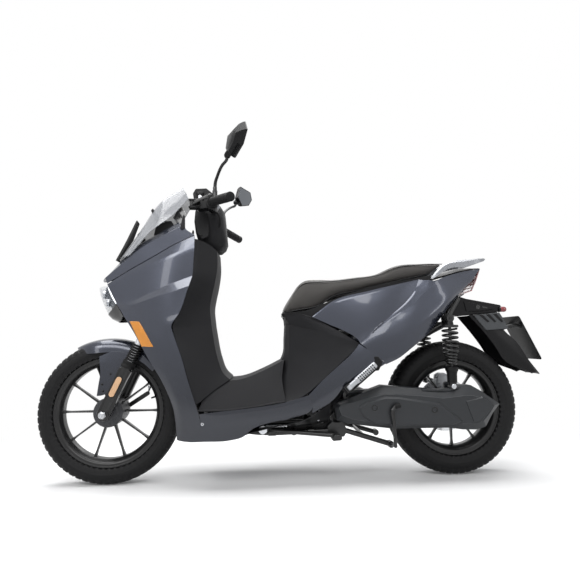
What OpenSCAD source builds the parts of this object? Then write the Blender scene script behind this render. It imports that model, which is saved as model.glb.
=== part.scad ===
// Electric moped scooter. All parts are drawn in millimetres from the ground under the
// front axle, with +X to the rear and +Z up, and moved as one so that the origin is on
// the ground under the middle of the scooter. Left-hand parts are on the -Y side.

/* [Wheels] */
// Distance between the wheel axles
wheelbase = 1410; // [1395:1:1425]
// Outer radius of the front tyre
front_tyre_r = 283; // [280:1:284]
// Outer radius of the rear tyre
rear_tyre_r = 274; // [271:1:275]
// Width of the front tyre
front_tyre_w = 100; // [94:1:102]
// Width of the rear tyre
rear_tyre_w = 120; // [114:1:122]
// Number of spokes in each wheel
spokes = 10; // [8:1:12]

/* [Steering] */
// Angle of the steering axis from upright
rake = 25; // [25:1:25]
// Distance from the steering axis forward to the fork legs
fork_offset = 38; // [36:1:40]
// Distance of each fork leg from the middle
fork_leg_y = 92; // [91:1:94]
// Radius of the inner fork tubes
fork_tube_r = 16; // [14:0.5:16.5]

/* [Running gear] */
// Height of the swing arm pivot
swing_z = 300; // [298:1:302]
// Distance of the swing arm pivot behind the front axle
swing_x = 930; // [928:1:932]
// Distance of each shock absorber from the middle
shock_y = 152; // [151:1:153]
// Radius of the rear brake disc
rear_disc_r = 115; // [108:1:118]

/* [Body] */
// Wall thickness of the moulded panels
wall = 3.5; // [3:0.5:4]

/* [Hidden] */
$fn = 48;
tail_x = 1788;
front_axle_x = (front_tyre_r - tail_x) / 2;
axle_r = 7.5;
yoke_s = 350;
run_gap = 0.05;
steer_x = fork_offset / cos(rake);
front_axle_s = -fork_offset * tan(rake);
rear_x = wheelbase;
bar_r = 11;
grip_r = 17;
grip_in = [420, -220, 1093];
grip_out = [501, -356, 1072];
lever_pivot = [346, -212, 1088];
lever_tip = [430, -352, 1076];
mirror_ball = [488, -300, 1248];
mirror_middle = [522, -345, 1288];
seat_hinge = [704, 664];
brake_cam = [46, 292];
shock_x = 1364;
shock_top_z = 640;
shock_eye_z = 372;
driver = [1010, 292];
driver_r = 30;
driven_r = 72;
peg_pivot = [941, -199, 381];
side_stand_pivot = [614, 216];
centre_stand_pivot = [905, 214];

// ---- shared helpers ----
module bike() {
  translate([front_axle_x, 0, 0]) children();
}
module both() {
  children();
  mirror([0, 1, 0]) children();
}
module plate_xz(outline, y0, y1) {
  translate([0, y1, 0]) rotate([90, 0, 0]) linear_extrude(y1 - y0) polygon(outline);
}
module disc_y(x, z, r, y0, y1) {
  translate([x, y1, z]) rotate([90, 0, 0]) cylinder(h = y1 - y0, r = r);
}
module rod(a, b, r) {
  d = b - a;
  len = norm(d);
  turn = [0, acos(d[2] / len), atan2(d[1], d[0])];
  translate(a) rotate(turn) cylinder(h = len, r = r);
}
module block(low, high) {
  translate(low) cube(high - low);
}
function flip(p) = [p[0], -p[1], p[2]];
function mirror_row(row) = concat(row, [for (i = [len(row) - 1:-1:0]) flip(row[i])]);

// A polyhedron whose faces are turned outward whichever way its points were listed.
module solid(points, faces) {
  parts = [for (f = faces) cross(points[f[0]], points[f[1]]) * points[f[2]]];
  inward = parts * [for (f = faces) 1] > 0;
  polyhedron(points, inward ? [for (f = faces) [f[2], f[1], f[0]]] : faces);
}
// A closed sheet: rows of points on its outer face, and the step from there to its inner
// face, which is one vector for the whole sheet or one for each column of points.
module sheet(rows, back) {
  n = len(rows);
  m = len(rows[0]);
  count = n * m;
  outer = [for (row = rows) for (p = row) p];
  inner = [for (row = rows) for (j = [0:m - 1]) row[j] + (is_list(back[0]) ? back[j] : back)];
  cells = [for (i = [0:n - 2]) for (j = [0:m - 2]) i * m + j];
  front = [for (k = cells) each [[k, k + 1, k + m + 1], [k, k + m + 1, k + m]]];
  rear = [for (f = front) [f[2], f[1], f[0]] + [count, count, count]];
  rim = concat([for (j = [0:m - 2]) j],
    [for (i = [0:n - 2]) i * m + m - 1],
    [for (j = [m - 1:-1:1]) (n - 1) * m + j],
    [for (i = [n - 1:-1:1]) i * m]);
  edges = [for (k = [0:len(rim) - 1])
    let (a = rim[k], b = rim[(k + 1) % len(rim)])
      each [[b, a, a + count], [b, a + count, b + count]]];
  solid(concat(outer, inner), concat(front, rear, edges));
}
// A closed body through equal rings of points, with its ends filled by fans.
module loft(rings) {
  n = len(rings);
  m = len(rings[0]);
  points = [for (ring = rings) for (p = ring) p];
  walls = [for (i = [0:n - 2]) for (j = [0:m - 1])
    let (a = i * m + j, b = i * m + (j + 1) % m)
      each [[a, b, b + m], [a, b + m, a + m]]];
  start = [for (j = [1:m - 2]) [0, j + 1, j]];
  finish = [for (j = [1:m - 2]) [(n - 1) * m, (n - 1) * m + j, (n - 1) * m + j + 1]];
  solid(points, concat(start, walls, finish));
}
// Moves its children onto the steering axis: +Z runs up the axis and +X to the rear.
module on_steering() {
  translate([steer_x, 0, front_tyre_r]) rotate([0, rake, 0]) children();
}
// Turns +Z of its children to point from a to b, standing on a.
module along(a, b) {
  d = b - a;
  translate(a) rotate([0, acos(d[2] / norm(d)), atan2(d[1], d[0])]) children();
}
// ---- wheels ----
// Half of a tyre's outline from the middle of the tread to the bead, as [radius, y].
function tyre_half(r, w, rim_r, edge_r) = [
  [r, 18], [r - 0.02 * w, 0.26 * w], [r - 0.09 * w, 0.38 * w], [r - 0.2 * w, 0.46 * w],
  [r - 0.36 * w, 0.5 * w], [r - 0.52 * w, 0.48 * w], [edge_r + 3, 0.4 * w],
  [edge_r + 1, 0.32 * w], [rim_r + 0.4, 0.32 * w], [rim_r + 0.4, 0.32 * w - 12],
  [rim_r + 14, 0.32 * w - 11], [r - 0.4 * w, 0.4 * w], [r - 0.22 * w, 0.34 * w], [r - 12, 15]];
module tyre(x, r, w, rim_r, flange) {
  half = tyre_half(r, w, rim_r, rim_r + flange);
  outline = concat(half, [for (i = [len(half) - 1:-1:0]) [half[i][0], -half[i][1]]]);
  translate([x, 0, r]) rotate([90, 0, 0]) rotate_extrude($fn = 96) polygon(outline);
}
// A cast wheel: barrel with two flanges, thin spokes and a hub bored for its axle.
module wheel(x, z, rim_r, w, flange, hub_r, hub_w, first_spoke) {
  bead = 0.32 * w + 1;
  lip = bead + 4;
  translate([x, 0, z]) rotate([90, 0, 0]) difference() {
    union() {
      rotate_extrude($fn = 96) polygon([
        [rim_r - 7, -bead], [rim_r + flange, -bead - 1], [rim_r + flange, -lip], [rim_r - 6, -lip],
        [rim_r - 14, -lip + 6], [rim_r - 22, -20], [rim_r - 22, 20], [rim_r - 14, lip - 6],
        [rim_r - 6, lip], [rim_r + flange, lip], [rim_r + flange, bead + 1], [rim_r - 7, bead],
        [rim_r, bead], [rim_r, bead - 14], [rim_r - 10, bead - 20], [rim_r - 12, 0],
        [rim_r - 10, 20 - bead], [rim_r, 14 - bead], [rim_r, -bead]]);
      cylinder(h = hub_w, r = hub_r, center = true);
      for (i = [0:spokes - 1])
        rotate([0, 0, first_spoke + i * 360 / spokes])
          translate([hub_r - 4, -4.5, -11])
            cube([rim_r - hub_r - 14, 9, 22]);
    }
    cylinder(h = hub_w + 2, r = axle_r + run_gap, center = true);
  }
}
module front_wheel() {
  color("black") bike() wheel(0, front_tyre_r, 203, front_tyre_w, 13, 58, 108, 0);
}
module front_tyre() {
  color("dimgray") bike() tyre(0, front_tyre_r, front_tyre_w, 203, 13);
}
module rear_wheel() {
  color("black") bike() union() {
    wheel(rear_x, rear_tyre_r, 178, rear_tyre_w, 16, 50, 92, 180 / spokes);
    difference() {
      union() {
        disc_y(rear_x, rear_tyre_r, driven_r, -84, -64);
        disc_y(rear_x, rear_tyre_r, 40, -64, -46);
      }
      disc_y(rear_x, rear_tyre_r, axle_r + run_gap, -85, -45);
    }
  }
}
module rear_tyre() {
  color("dimgray") bike() tyre(rear_x, rear_tyre_r, rear_tyre_w, 178, 16);
}
module rear_disc() {
  color("silver") bike() difference() {
    disc_y(rear_x, rear_tyre_r, rear_disc_r, 60, 64);
    disc_y(rear_x, rear_tyre_r, 46, 59, 65);
    for (i = [0:17])
      rotate_about_rear(i * 20)
        disc_y(rear_x + rear_disc_r - 14 - 8 * (i % 2), rear_tyre_r, 4, 59, 65);
  }
  color("silver") bike() difference() {
    disc_y(rear_x, rear_tyre_r, 48, 46, 60);
    disc_y(rear_x, rear_tyre_r, axle_r + run_gap, 45, 61);
  }
}
module rotate_about_rear(angle) {
  translate([rear_x, 0, rear_tyre_r]) rotate([0, angle, 0])
    translate([-rear_x, 0, -rear_tyre_r]) children();
}
// ---- steering and front fork ----
module steering_stem() {
  color("dimgray") bike() on_steering() {
    translate([0, 0, yoke_s]) cylinder(h = 518, r = 15);
    difference() {
      translate([-fork_offset - 24, -116, yoke_s]) cube([fork_offset + 46, 232, 26]);
      both() translate([-fork_offset, fork_leg_y, yoke_s - 1])
        cylinder(h = 28, r = fork_tube_r);
    }
  }
}
module fork_tubes() {
  color("silver") bike() on_steering() both()
    translate([-fork_offset, fork_leg_y, 86]) cylinder(h = yoke_s - 60, r = fork_tube_r);
}
module fork_sliders() {
  color("dimgray") bike() difference() {
    on_steering() both() {
      translate([-fork_offset, fork_leg_y, front_axle_s]) {
        cylinder(h = 222, r = 21);
        translate([0, 0, 196]) cylinder(h = 26, r = 24);
        rotate([90, 0, 0]) cylinder(h = 40, r = 21, center = true);
      }
    }
    on_steering() both() translate([-fork_offset, fork_leg_y, 8])
      cylinder(h = 320, r = fork_tube_r + run_gap);
    disc_y(0, front_tyre_r, axle_r, -120, 120);
  }
  // Back plate of the front drum brake, held by the right leg
  color("dimgray") bike() difference() {
    disc_y(0, front_tyre_r, 56, 56, 71.5);
    disc_y(0, front_tyre_r, axle_r, 55, 73);
    disc_y(brake_cam[0], brake_cam[1], 6 + run_gap, 55, 73);
  }
}
module brake_arm() {
  arm_end = brake_cam + [78, 50];
  color("gray") bike() {
    disc_y(brake_cam[0], brake_cam[1], 6, 57, 87);
    link_bar(brake_cam, arm_end, 9, 78, 86);
    disc_y(arm_end[0], arm_end[1], 4, 70, 94);
  }
}
// A flat bar with round ends between two points of the XZ plane.
module link_bar(a, b, r, y0, y1) {
  d = b - a;
  side = [-d[1], d[0]] * r / norm(d);
  plate_xz([a + side, b + side, b - side, a - side], y0, y1);
  disc_y(a[0], a[1], r, y0, y1);
  disc_y(b[0], b[1], r, y0, y1);
}
module front_axle() {
  color("silver") bike() {
    disc_y(0, front_tyre_r, axle_r, -116, 116);
    disc_y(0, front_tyre_r, 13, -124, -113.5);
    disc_y(0, front_tyre_r, 13, 113.5, 122);
    disc_y(0, front_tyre_r, 13, -70.8, -54.4);
  }
}
fender_half = [[291, 0], [290, 26], [283, 46], [264, 60], [238, 65],
  [238, 68], [266, 63], [286, 49], [293, 28], [294, 0]];
fin_outline = [[-16, 508], [-27, 440], [-38, 350], [0, 360], [14, 385], [62, 470], [72, 500],
  [30, 520]];
module front_fender() {
  color("slategray") bike() {
    translate([0, 0, front_tyre_r]) rotate([90, 0, 0])
      rotate([0, 0, 42]) rotate_extrude(angle = 76) fender_section();
    both() plate_xz(fin_outline, 65, 70);
  }
}
module fender_section() {
  polygon(fender_half);
  mirror([0, 1]) polygon(fender_half);
}

// ---- handlebar ----
bar_left = [grip_in[0], -222, grip_in[2]];
module handlebar() {
  color("dimgray") bike() {
    rod(bar_left, flip(bar_left), bar_r);
    both() rod(grip_in, grip_out, bar_r);
    both() translate(grip_in) sphere(r = bar_r + 0.9);
    difference() {
      union() {
        on_steering() translate([0, 0, 838]) cylinder(h = 56, r = 21);
        disc_y(grip_in[0], grip_in[2], 20, -28, 28);
      }
      on_steering() translate([0, 0, 830]) cylinder(h = 38, r = 15);
    }
  }
}
module grip_shape(start, finish, r) {
  len = norm(grip_out - grip_in);
  along(grip_in, grip_out) difference() {
    translate([0, 0, start]) cylinder(h = len + finish - start, r = r);
    translate([0, 0, start - 1]) cylinder(h = len - start + 1.3, r = bar_r + run_gap);
  }
}
module grip_left() {
  color("black") bike() {
    grip_shape(16, 6, grip_r);
    grip_shape(12, -140, grip_r + 5);
  }
}
module throttle_grip() {
  color("black") bike() mirror([0, 1, 0]) {
    grip_shape(16, 6, grip_r);
    grip_shape(12, -140, grip_r + 5);
  }
}
cover_levels = [[942, 398, 448, 55], [972, 346, 470, 84], [1060, 330, 464, 96],
  [1108, 334, 458, 92], [1132, 350, 436, 70]];
function cover_ring(level, t) = let (z = level[0], a = level[1] + t, b = level[2] - t,
  w = level[3] - t) [[a, -0.5 * w, z], [a + 0.3 * (b - a), -w, z], [b - 0.2 * (b - a), -w, z],
  [b, -0.6 * w, z], [b, 0.6 * w, z], [b - 0.2 * (b - a), w, z], [a + 0.3 * (b - a), w, z],
  [a, 0.5 * w, z]];
module bar_cover() {
  color("black") bike() difference() {
    loft([for (level = cover_levels) cover_ring(level, 0)]);
    loft([for (i = [0:4]) [for (p = cover_ring(cover_levels[i], 3.2))
      p + [0, 0, i == 0 ? -4 : (i == 4 ? -3.2 : 0)]]]);
    disc_y(grip_in[0], grip_in[2], 15, -120, 120);
    on_steering() translate([0, 0, 690]) cylinder(h = 130, r = 24);
  }
}
clamp_in = 132;
clamp_out = 196;
module control_housings() {
  color("black") bike() both() difference() {
    union() {
      disc_y(grip_in[0], grip_in[2], 23, -clamp_out, -clamp_in);
      block([352, -clamp_out, 1098.5], [412, -142, 1106]);
      block([356, -clamp_out, 1070], [404, -190, 1106]);
      block([336, -224, 1098.5], [372, -186, 1106]);
      block([336, -224, 1070], [372, -186, 1077.5]);
      translate([374, -168, 1098.5]) cylinder(h = 46, r = 23);
      translate([lever_pivot[0], lever_pivot[1], 1072]) cylinder(h = 34, r = 4);
    }
    disc_y(grip_in[0], grip_in[2], bar_r, -clamp_out - 1, -clamp_in + 1);
    translate([grip_in[0] + bar_r + 0.8, -164, grip_in[2]]) rotate([0, 90, 0])
      cylinder(h = 14, r = 6.5);
  }
}
module button() {
  translate([grip_in[0] + 14.3, -164, grip_in[2]]) rotate([0, 90, 0]) cylinder(h = 12, r = 6.2);
}
module horn_button() {
  color("gray") bike() button();
}
module start_button() {
  color("firebrick") bike() mirror([0, 1, 0]) button();
}
module brake_lever() {
  bike() difference() {
    union() {
      translate([lever_pivot[0], lever_pivot[1], 1078]) cylinder(h = 20, r = 9);
      rod(lever_pivot, lever_tip, 6);
      translate(lever_tip) sphere(r = 8);
    }
    translate([lever_pivot[0], lever_pivot[1], 1070]) cylinder(h = 40, r = 4 + run_gap);
  }
}
module brake_lever_left() {
  color("silver") brake_lever();
}
module brake_lever_right() {
  color("silver") mirror([0, 1, 0]) brake_lever();
}
stalk = [[434, -214, 1117], [434, -214, 1150], [446, -240, 1190], [468, -280, 1218],
  [mirror_ball[0], mirror_ball[1], 1228], mirror_ball];
module mirror_stalks() {
  color("black") bike() both() {
    rod(stalk[0], stalk[1], 10);
    rod([434, -199, 1108], [434, -212, 1108], 9.5);
    for (i = [1:4])
      rod(stalk[i], stalk[i + 1], 6);
    for (i = [1:4])
      translate(stalk[i]) sphere(r = i == 1 ? 8 : 6.8);
    translate(mirror_ball) sphere(r = 9);
  }
}
mirror_outline = [[-76, -16], [-34, -53], [46, -36], [86, 10], [70, 54], [-44, 50]];
mirror_turn = 20;
function mirror_point(p, scale, depth) = mirror_middle + [
  p[0] * scale * sin(mirror_turn) + depth * cos(mirror_turn),
  -p[0] * scale * cos(mirror_turn) + depth * sin(mirror_turn),
  p[1] * scale + 0.12 * depth];
module mirror_head() {
  bike() difference() {
    union() {
      loft([for (k = [[0.45, -26], [0.85, -12], [1, 6], [0.97, 12]])
        [for (p = mirror_outline) mirror_point(p, k[0], k[1])]]);
      translate(mirror_ball) sphere(r = 13);
    }
    translate(mirror_ball) sphere(r = 9.4);
    translate(mirror_ball - [0, 0, 30]) cylinder(h = 30, r = 8.6);
  }
}
module mirror_left() {
  color("black") mirror_head();
}
module mirror_right() {
  color("black") mirror([0, 1, 0]) mirror_head();
}
// ---- front bodywork ----
front_rows = [
  [[13, -62, 786], [90, -95, 834], [205, -130, 897], [354, -168, 970]],
  [[14, -72, 772], [96, -110, 792], [215, -156, 832], [351, -188, 886]],
  [[30, -84, 735], [110, -120, 724], [225, -166, 762], [346, -200, 809]],
  [[43, -86, 712], [112, -114, 704], [215, -150, 724], [334, -186, 767]],
  [[64, -98, 691], [130, -122, 665], [200, -152, 660], [270, -182, 617]],
  [[118, -128, 592], [165, -150, 580], [215, -168, 585], [279, -188, 585]],
  [[176, -145, 495], [225, -165, 500], [265, -180, 500], [311, -196, 498]],
  [[238, -155, 397], [270, -175, 405], [300, -188, 410], [335, -200, 417]],
  [[276, -158, 306], [310, -180, 300], [340, -192, 295], [376, -200, 291]],
  [[290, -150, 190], [325, -165, 186], [360, -175, 187], [400, -182, 188]]];
panel_back = [[5, wall, 0], [2, wall, 0], [2, wall, 0], [0, wall, 0]];
module front_panel() {
  bike() sheet(front_rows, panel_back);
}
module front_panel_left() {
  color("slategray") front_panel();
}
module front_panel_right() {
  color("slategray") mirror([0, 1, 0]) front_panel();
}
cowl_half = [
  [[11, -58, 789], [-42, -24, 806]],
  [[88, -91, 838], [32, -45, 896]],
  [[203, -126, 901], [98, -60, 960]],
  [[280, -147, 939], [169, -74, 1003]],
  [[350, -164, 974], [270, -97, 1058]]];
module nose_cowl() {
  color("slategray") bike() sheet([for (row = cowl_half) mirror_row(row)], [3, 0, -wall]);
}
lens_half = [
  [[8, -57, 786], [-54, -24, 778]],
  [[12, -64, 765], [-50, -28, 748]],
  [[28, -77, 735], [-30, -34, 708]],
  [[42, -80, 714], [-14, -36, 674]]];
module headlight_lens() {
  color([0.85, 0.9, 0.95, 0.5]) bike()
    sheet([for (row = lens_half) mirror_row(row)], [[2.5, 3, 0], [3, 0, 0], [3, 0, 0], [2.5, -3, 0]]);
}
module headlight_housing() {
  color("black") bike() difference() {
    plate_xz([[0, 676], [40, 650], [96, 640], [120, 655], [90, 770], [40, 782], [-30, 774],
      [-22, 712]], -26, 26);
    plate_xz([[-40, 700], [36, 690], [36, 762], [-40, 762]], -20, 20);
  }
  color("silver") bike() for (z = [712, 744])
    translate([10, 0, z]) rotate([0, -90, 0]) cylinder(h = 24, r = 13);
}
signal_rows = [
  [[100, -126, 640], [137, -137, 638]],
  [[125, -138, 592], [168, -156, 590]],
  [[152, -146, 542], [198, -164, 541]]];
module turn_signals_front() {
  color("orange") bike() both() sheet(signal_rows, [0, -4, 0]);
}
screen_half = [
  [[80, -84, 912], [24, -30, 904]],
  [[160, -96, 1006], [104, -38, 1014]],
  [[256, -84, 1086], [196, -40, 1149]],
  [[310, -58, 1158], [282, -30, 1214]]];
module windscreen() {
  color([0.5, 0.52, 0.55, 0.5]) bike()
    sheet([for (row = screen_half) mirror_row(row)], [-3, 0, 1]);
}
module display() {
  color("black") bike() {
    translate([244, -54, 1072]) rotate([0, 25, 0]) cube([16, 108, 60]);
    block([254, -16, 1058], [264, 16, 1076]);
  }
}
// ---- inner covers ----
shield_rows = [[922, 352, 168, 432, 88], [886, 353, 178, 434, 96], [809, 346, 190, 424, 104],
  [767, 334, 178, 415, 106], [704, 306, 178, 407, 108], [617, 273, 172, 413, 110],
  [585, 281, 178, 422, 112], [498, 313, 188, 440, 114], [417, 339, 194, 476, 118]];
module leg_shield() {
  color("dimgray") bike() sheet([for (row = shield_rows)
    mirror_row([[row[1], -row[2], row[0]], [row[3], -row[4], row[0]]])],
    [[-wall, 1, 0], [-wall, 0, 0], [-wall, 0, 0], [-wall, -1, 0]]);
}
floor_rows = [[343, 184, 300, 398], [378, 188, 300, 402], [485, 194, 304, 410],
  [530, 194, 308, 412], [627, 194, 319, 446]];
floor_rear = [[776, -194, 350], [700, -128, 353], [692, -112, 446], [692, -60, 476]];
module floor_cover() {
  ahead = [for (row = floor_rows) [[row[0], -row[1], row[2]], [row[0], -128, row[2] + 3],
    [row[0], -112, row[3] - 30], [row[0], -60, row[3]]]];
  color("dimgray") bike() sheet([for (row = concat(ahead, [floor_rear])) mirror_row(row)],
    [for (j = [0:7]) [0, j == 1 || j == 2 ? 3 : (j == 5 || j == 6 ? -3 : 0), -wall]]);
}
cover_rows = [[356, 784, 192, 694, 112], [433, 876, 189, 700, 110], [540, 984, 178, 706, 104],
  [598, 902, 168, 709, 102], [646, 812, 158, 711, 98]];
module seat_front_cover() {
  color("dimgray") bike() sheet([for (row = cover_rows) mirror_row([
    [row[1], -row[2], row[0]], [0.5 * (row[1] + row[3]), -0.5 * (row[2] + row[4]) - 14, row[0]],
    [row[3], -row[4], row[0]]])],
    [[1, wall, 0], [1, wall, 0], [wall, 2, 0], [wall, -2, 0], [1, -wall, 0], [1, -wall, 0]]);
}
sill_rows = [
  [[405, -200, 292], [470, -202, 299], [562, -204, 309], [700, -205, 328], [780, -204, 349]],
  [[410, -198, 250], [470, -202, 262], [562, -204, 275], [700, -205, 292], [800, -204, 312]],
  [[405, -182, 188], [533, -186, 200], [590, -190, 247], [690, -194, 261], [803, -196, 286]]];
module sill_panels() {
  color("slategray") bike() both() sheet(sill_rows, [0, wall, 0]);
}
side_rows = [
  [[808, -196, 290], [931, -198, 392], [1148, -185, 498], [1334, -150, 645], [1420, -86, 740]],
  [[786, -203, 353], [900, -204, 430], [1120, -189, 540], [1330, -156, 690], [1434, -86, 757]],
  [[878, -198, 434], [950, -203, 470], [1120, -191, 560], [1325, -158, 705], [1448, -86, 774]],
  [[988, -186, 543], [1050, -192, 590], [1160, -186, 650], [1320, -155, 740], [1461, -84, 790]],
  [[902, -176, 601], [1000, -186, 640], [1150, -182, 690], [1310, -150, 765], [1475, -82, 806]],
  [[812, -166, 650], [960, -176, 680], [1140, -170, 725], [1300, -142, 785], [1488, -78, 823]],
  [[894, -160, 711], [1040, -158, 748], [1180, -150, 779], [1292, -128, 803], [1501, -72, 840]]];
module side_panel() {
  bike() sheet([for (i = [6:-1:0]) side_rows[i]], [0, wall, 0]);
}
module side_panel_left() {
  color("slategray") side_panel();
}
module side_panel_right() {
  color("slategray") mirror([0, 1, 0]) side_panel();
}

// ---- frame and power ----
rail_path = [[385, 92, 238], [850, 92, 238], [924, 76, 318], [932, 86, 420], [1080, 96, 480],
  [1364, 98, 620], [1432, 70, 720]];
seat_path = [[1352, 98, 616], [1120, 104, 622], [800, 100, 560], [776, 92, 242]];
module tube_path(path, r) {
  for (i = [0:len(path) - 2])
    let (step = (path[i + 1] - path[i]) / norm(path[i + 1] - path[i]))
      rod(path[i] - (i % 2) * 0.6 * r * step, path[i + 1] + (i % 2) * 0.6 * r * step,
        r + 0.7 * (i % 2));
}
module main_frame() {
  color("black") bike() {
    on_steering() difference() {
      translate([0, 0, 380]) cylinder(h = 160, r = 25);
      translate([0, 0, 379]) cylinder(h = 162, r = 15 + run_gap);
    }
    both() {
      tube_path([[264, 27, 706], [322, 62, 400], [386, 90, 240]], 13);
      tube_path(rail_path, 14);
      tube_path(seat_path, 11);
      disc_y(swing_x, swing_z, 20, 60, 78);
      link_bar([914, 278], centre_stand_pivot, 12, 72, 86);
      disc_y(centre_stand_pivot[0], centre_stand_pivot[1], 7, 80, 120);
      disc_y(shock_x, shock_top_z, 17, 108, 136);
      disc_y(shock_x, shock_top_z, 6, 130, 168);
      rod([929, 78, 372], [945, 200, 372], 8);
      peg_bracket();
    }
    for (x = [402, 700, 848])
      rod([x, -90, 239], [x, 90, 239], 9);
    rod([1121, -102, 621], [1121, 102, 621], 8);
    rod([801, -98, 561], [801, 98, 561], 8);
    rod([1430, -70, 719], [1430, 70, 719], 11);
    disc_y(swing_x, swing_z, 8, -70, 70);
    rod([side_stand_pivot[0], -96, 236], [side_stand_pivot[0], -96, 212], 9);
    disc_y(side_stand_pivot[0], side_stand_pivot[1], 7, -130, -92);
  }
}
module battery_pack() {
  color("dimgray") bike() {
    block([416, -74, 254], [690, 74, 384]);
    block([430, -20, 384], [520, 20, 390]);
  }
}
bucket_outline = [[762, 574], [1094, 634], [1094, 732], [900, 700], [845, 672], [762, 650]];
module storage_bucket() {
  color("black") bike() {
    difference() {
      plate_xz(bucket_outline, -86, 86);
      plate_xz([[765, 577], [1091, 637], [1091, 760], [765, 760]], -83, 83);
    }
    both() difference() {
      link_bar(seat_hinge, [768, 636], 8, 34, 40);
      disc_y(seat_hinge[0], seat_hinge[1], 4, 33, 41);
    }
    disc_y(seat_hinge[0], seat_hinge[1], 4, -40, 40);
  }
}
// ---- seat ----
pan_rows = [[716, 669, 60], [760, 677, 84], [843, 693, 108], [897, 728, 120], [1000, 752, 126],
  [1150, 786, 124], [1262, 812, 106], [1304, 819, 92]];
module seat_base() {
  color("black") bike() {
    sheet([for (row = pan_rows) [for (k = [-1, 0, 1]) [row[0], k * row[2], row[1]]]], [0, 0, 4]);
    difference() {
      union() {
        disc_y(seat_hinge[0], seat_hinge[1], 8, -33, 33);
        block([706, -31, 665], [738, 31, 673.4]);
      }
      disc_y(seat_hinge[0], seat_hinge[1], 4 + run_gap, -34, 34);
    }
  }
}
seat_rings = [[698, 674, 702, 684, 46], [716, 674, 742, 748, 74], [760, 682, 786, 803, 96],
  [843, 698, 846, 806, 120], [897, 733, 902, 804, 134], [1000, 757, 996, 813, 140],
  [1080, 776, 1079, 824, 142], [1150, 791, 1146, 853, 138], [1184, 799, 1174, 862, 134],
  [1262, 817, 1265, 870, 120], [1296, 823, 1330, 875, 106], [1312, 830, 1374, 877, 94]];
module seat_cushion() {
  color([0.28, 0.27, 0.26]) bike() loft([for (s = seat_rings)
    let (xm = 0.6 * s[0] + 0.4 * s[2], zm = 0.6 * s[1] + 0.4 * s[3])
      mirror_row([[s[0], -0.88 * s[4], s[1]], [xm, -s[4], zm],
        [s[2], -0.86 * s[4], s[3] - 8], [s[2], -0.5 * s[4], s[3]]])]);
}
// ---- tail ----
rail_blade = [[1308, 813], [1377, 871], [1447, 883], [1529, 894], [1553, 889], [1506, 864],
  [1466, 847], [1427, 843]];
module grab_rail() {
  color("silver") bike() {
    both() plate_xz(rail_blade, 112, 128);
    plate_xz([[1486, 874], [1506, 866], [1550, 889], [1529, 893]], -114, 114);
  }
}
tail_rows = [[1318, 112, 803], [1380, 98, 815], [1440, 84, 826], [1500, 64, 838]];
module tail_cover() {
  color("black") bike()
    sheet([for (row = tail_rows) [for (k = [-1, -0.5, 0.5, 1])
      [row[0], k * row[1], row[2] + (abs(k) < 1 ? 6 : 0)]]], [0, 0, -wall]);
}
light_levels = [[742, 1430, 1468, 70], [764, 1448, 1502, 70], [802, 1478, 1534, 66],
  [836, 1506, 1549, 60]];
module tail_light() {
  color([0.6, 0.1, 0.12, 0.8]) bike() {
    loft([for (v = light_levels) mirror_row([[v[1], -v[3], v[0]],
      [v[2] - 22, -v[3] * 0.92, v[0]], [v[2], -v[3] * 0.5, v[0]]])]);
    both() {
      disc_x = [1634, 46, 681];
      rod(disc_x, disc_x + [26, 0, 0], 11);
      translate(disc_x + [26, 0, 0]) rotate([0, 90, 0]) cylinder(h = 5, r = 8);
    }
  }
}
arm_outline = [[1442, 734], [1480, 725], [1633, 698], [1630, 672], [1540, 660], [1486, 657],
  [1446, 660]];
guard_outline = [[1487, 656], [1560, 663], [1610, 668], [1640, 593], [1734, 463], [1788, 406],
  [1747, 405], [1618, 473], [1599, 512], [1541, 590]];
guard_hollow = [[1480, 650], [1560, 658], [1606, 663], [1636, 590], [1730, 460], [1779, 409],
  [1760, 380], [1560, 420], [1480, 560]];
module rear_mudguard() {
  color("black") bike() {
    difference() {
      plate_xz(arm_outline, -57, 57);
      disc_y(1430, 719, 11.3, -80, 80);
    }
    difference() {
      plate_xz(guard_outline, -70, 70);
      plate_xz(guard_hollow, -66, 66);
    }
    both() rod([1640, 40, 598], [1705, 40, 608], 8);
  }
}
plate_top = [1697, 0, 650];
plate_end = [1786, 0, 466];
module plate_place() {
  d = plate_end - plate_top;
  translate(plate_top) rotate([0, atan2(d[0], d[2]), 0]) children();
}
module plate_holder() {
  color("black") bike() plate_place() difference() {
    translate([-3, -74, 0]) cube([3, 148, norm(plate_end - plate_top)]);
    both() translate([-4, 50, 40]) rotate([0, 90, 0]) cylinder(h = 6, r = 3);
  }
}
// ---- swing arm and drive ----
module swing_arm() {
  color("dimgray") bike() difference() {
    union() {
      disc_y(swing_x, swing_z, 18, -58, 58);
      disc_y(driver[0], driver[1], 68, -58, 58);
      block([960, -98, 346], [1070, -50, 358]);
      block([960, -98, 226], [1070, -50, 238]);
      plate_xz([[956, 226], [1440, 236], [1446, 310], [1340, 345], [1070, 358], [956, 340]],
        -98, -90);
      link_bar([1000, 300], [rear_x, rear_tyre_r], 24, 78, 98);
      block([960, 56, 276], [1050, 98, 324]);
      both() link_bar([shock_x, 290], [shock_x, shock_eye_z], 13, 84, 98);
      both() disc_y(shock_x, shock_eye_z, 6, 96, 170);
    }
    disc_y(swing_x, swing_z, 8 + run_gap, -60, 60);
    disc_y(driver[0], driver[1], 52, -48, 48);
    disc_y(driver[0], driver[1], 12.4, -60, 60);
    disc_y(rear_x, rear_tyre_r, axle_r, -120, 120);
  }
}
module motor_rotor() {
  color("silver") bike() {
    disc_y(driver[0], driver[1], 12, -84, 56);
    disc_y(driver[0], driver[1], 48, -42, 42);
    disc_y(driver[0], driver[1], driver_r, -84, -64);
  }
}
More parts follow.
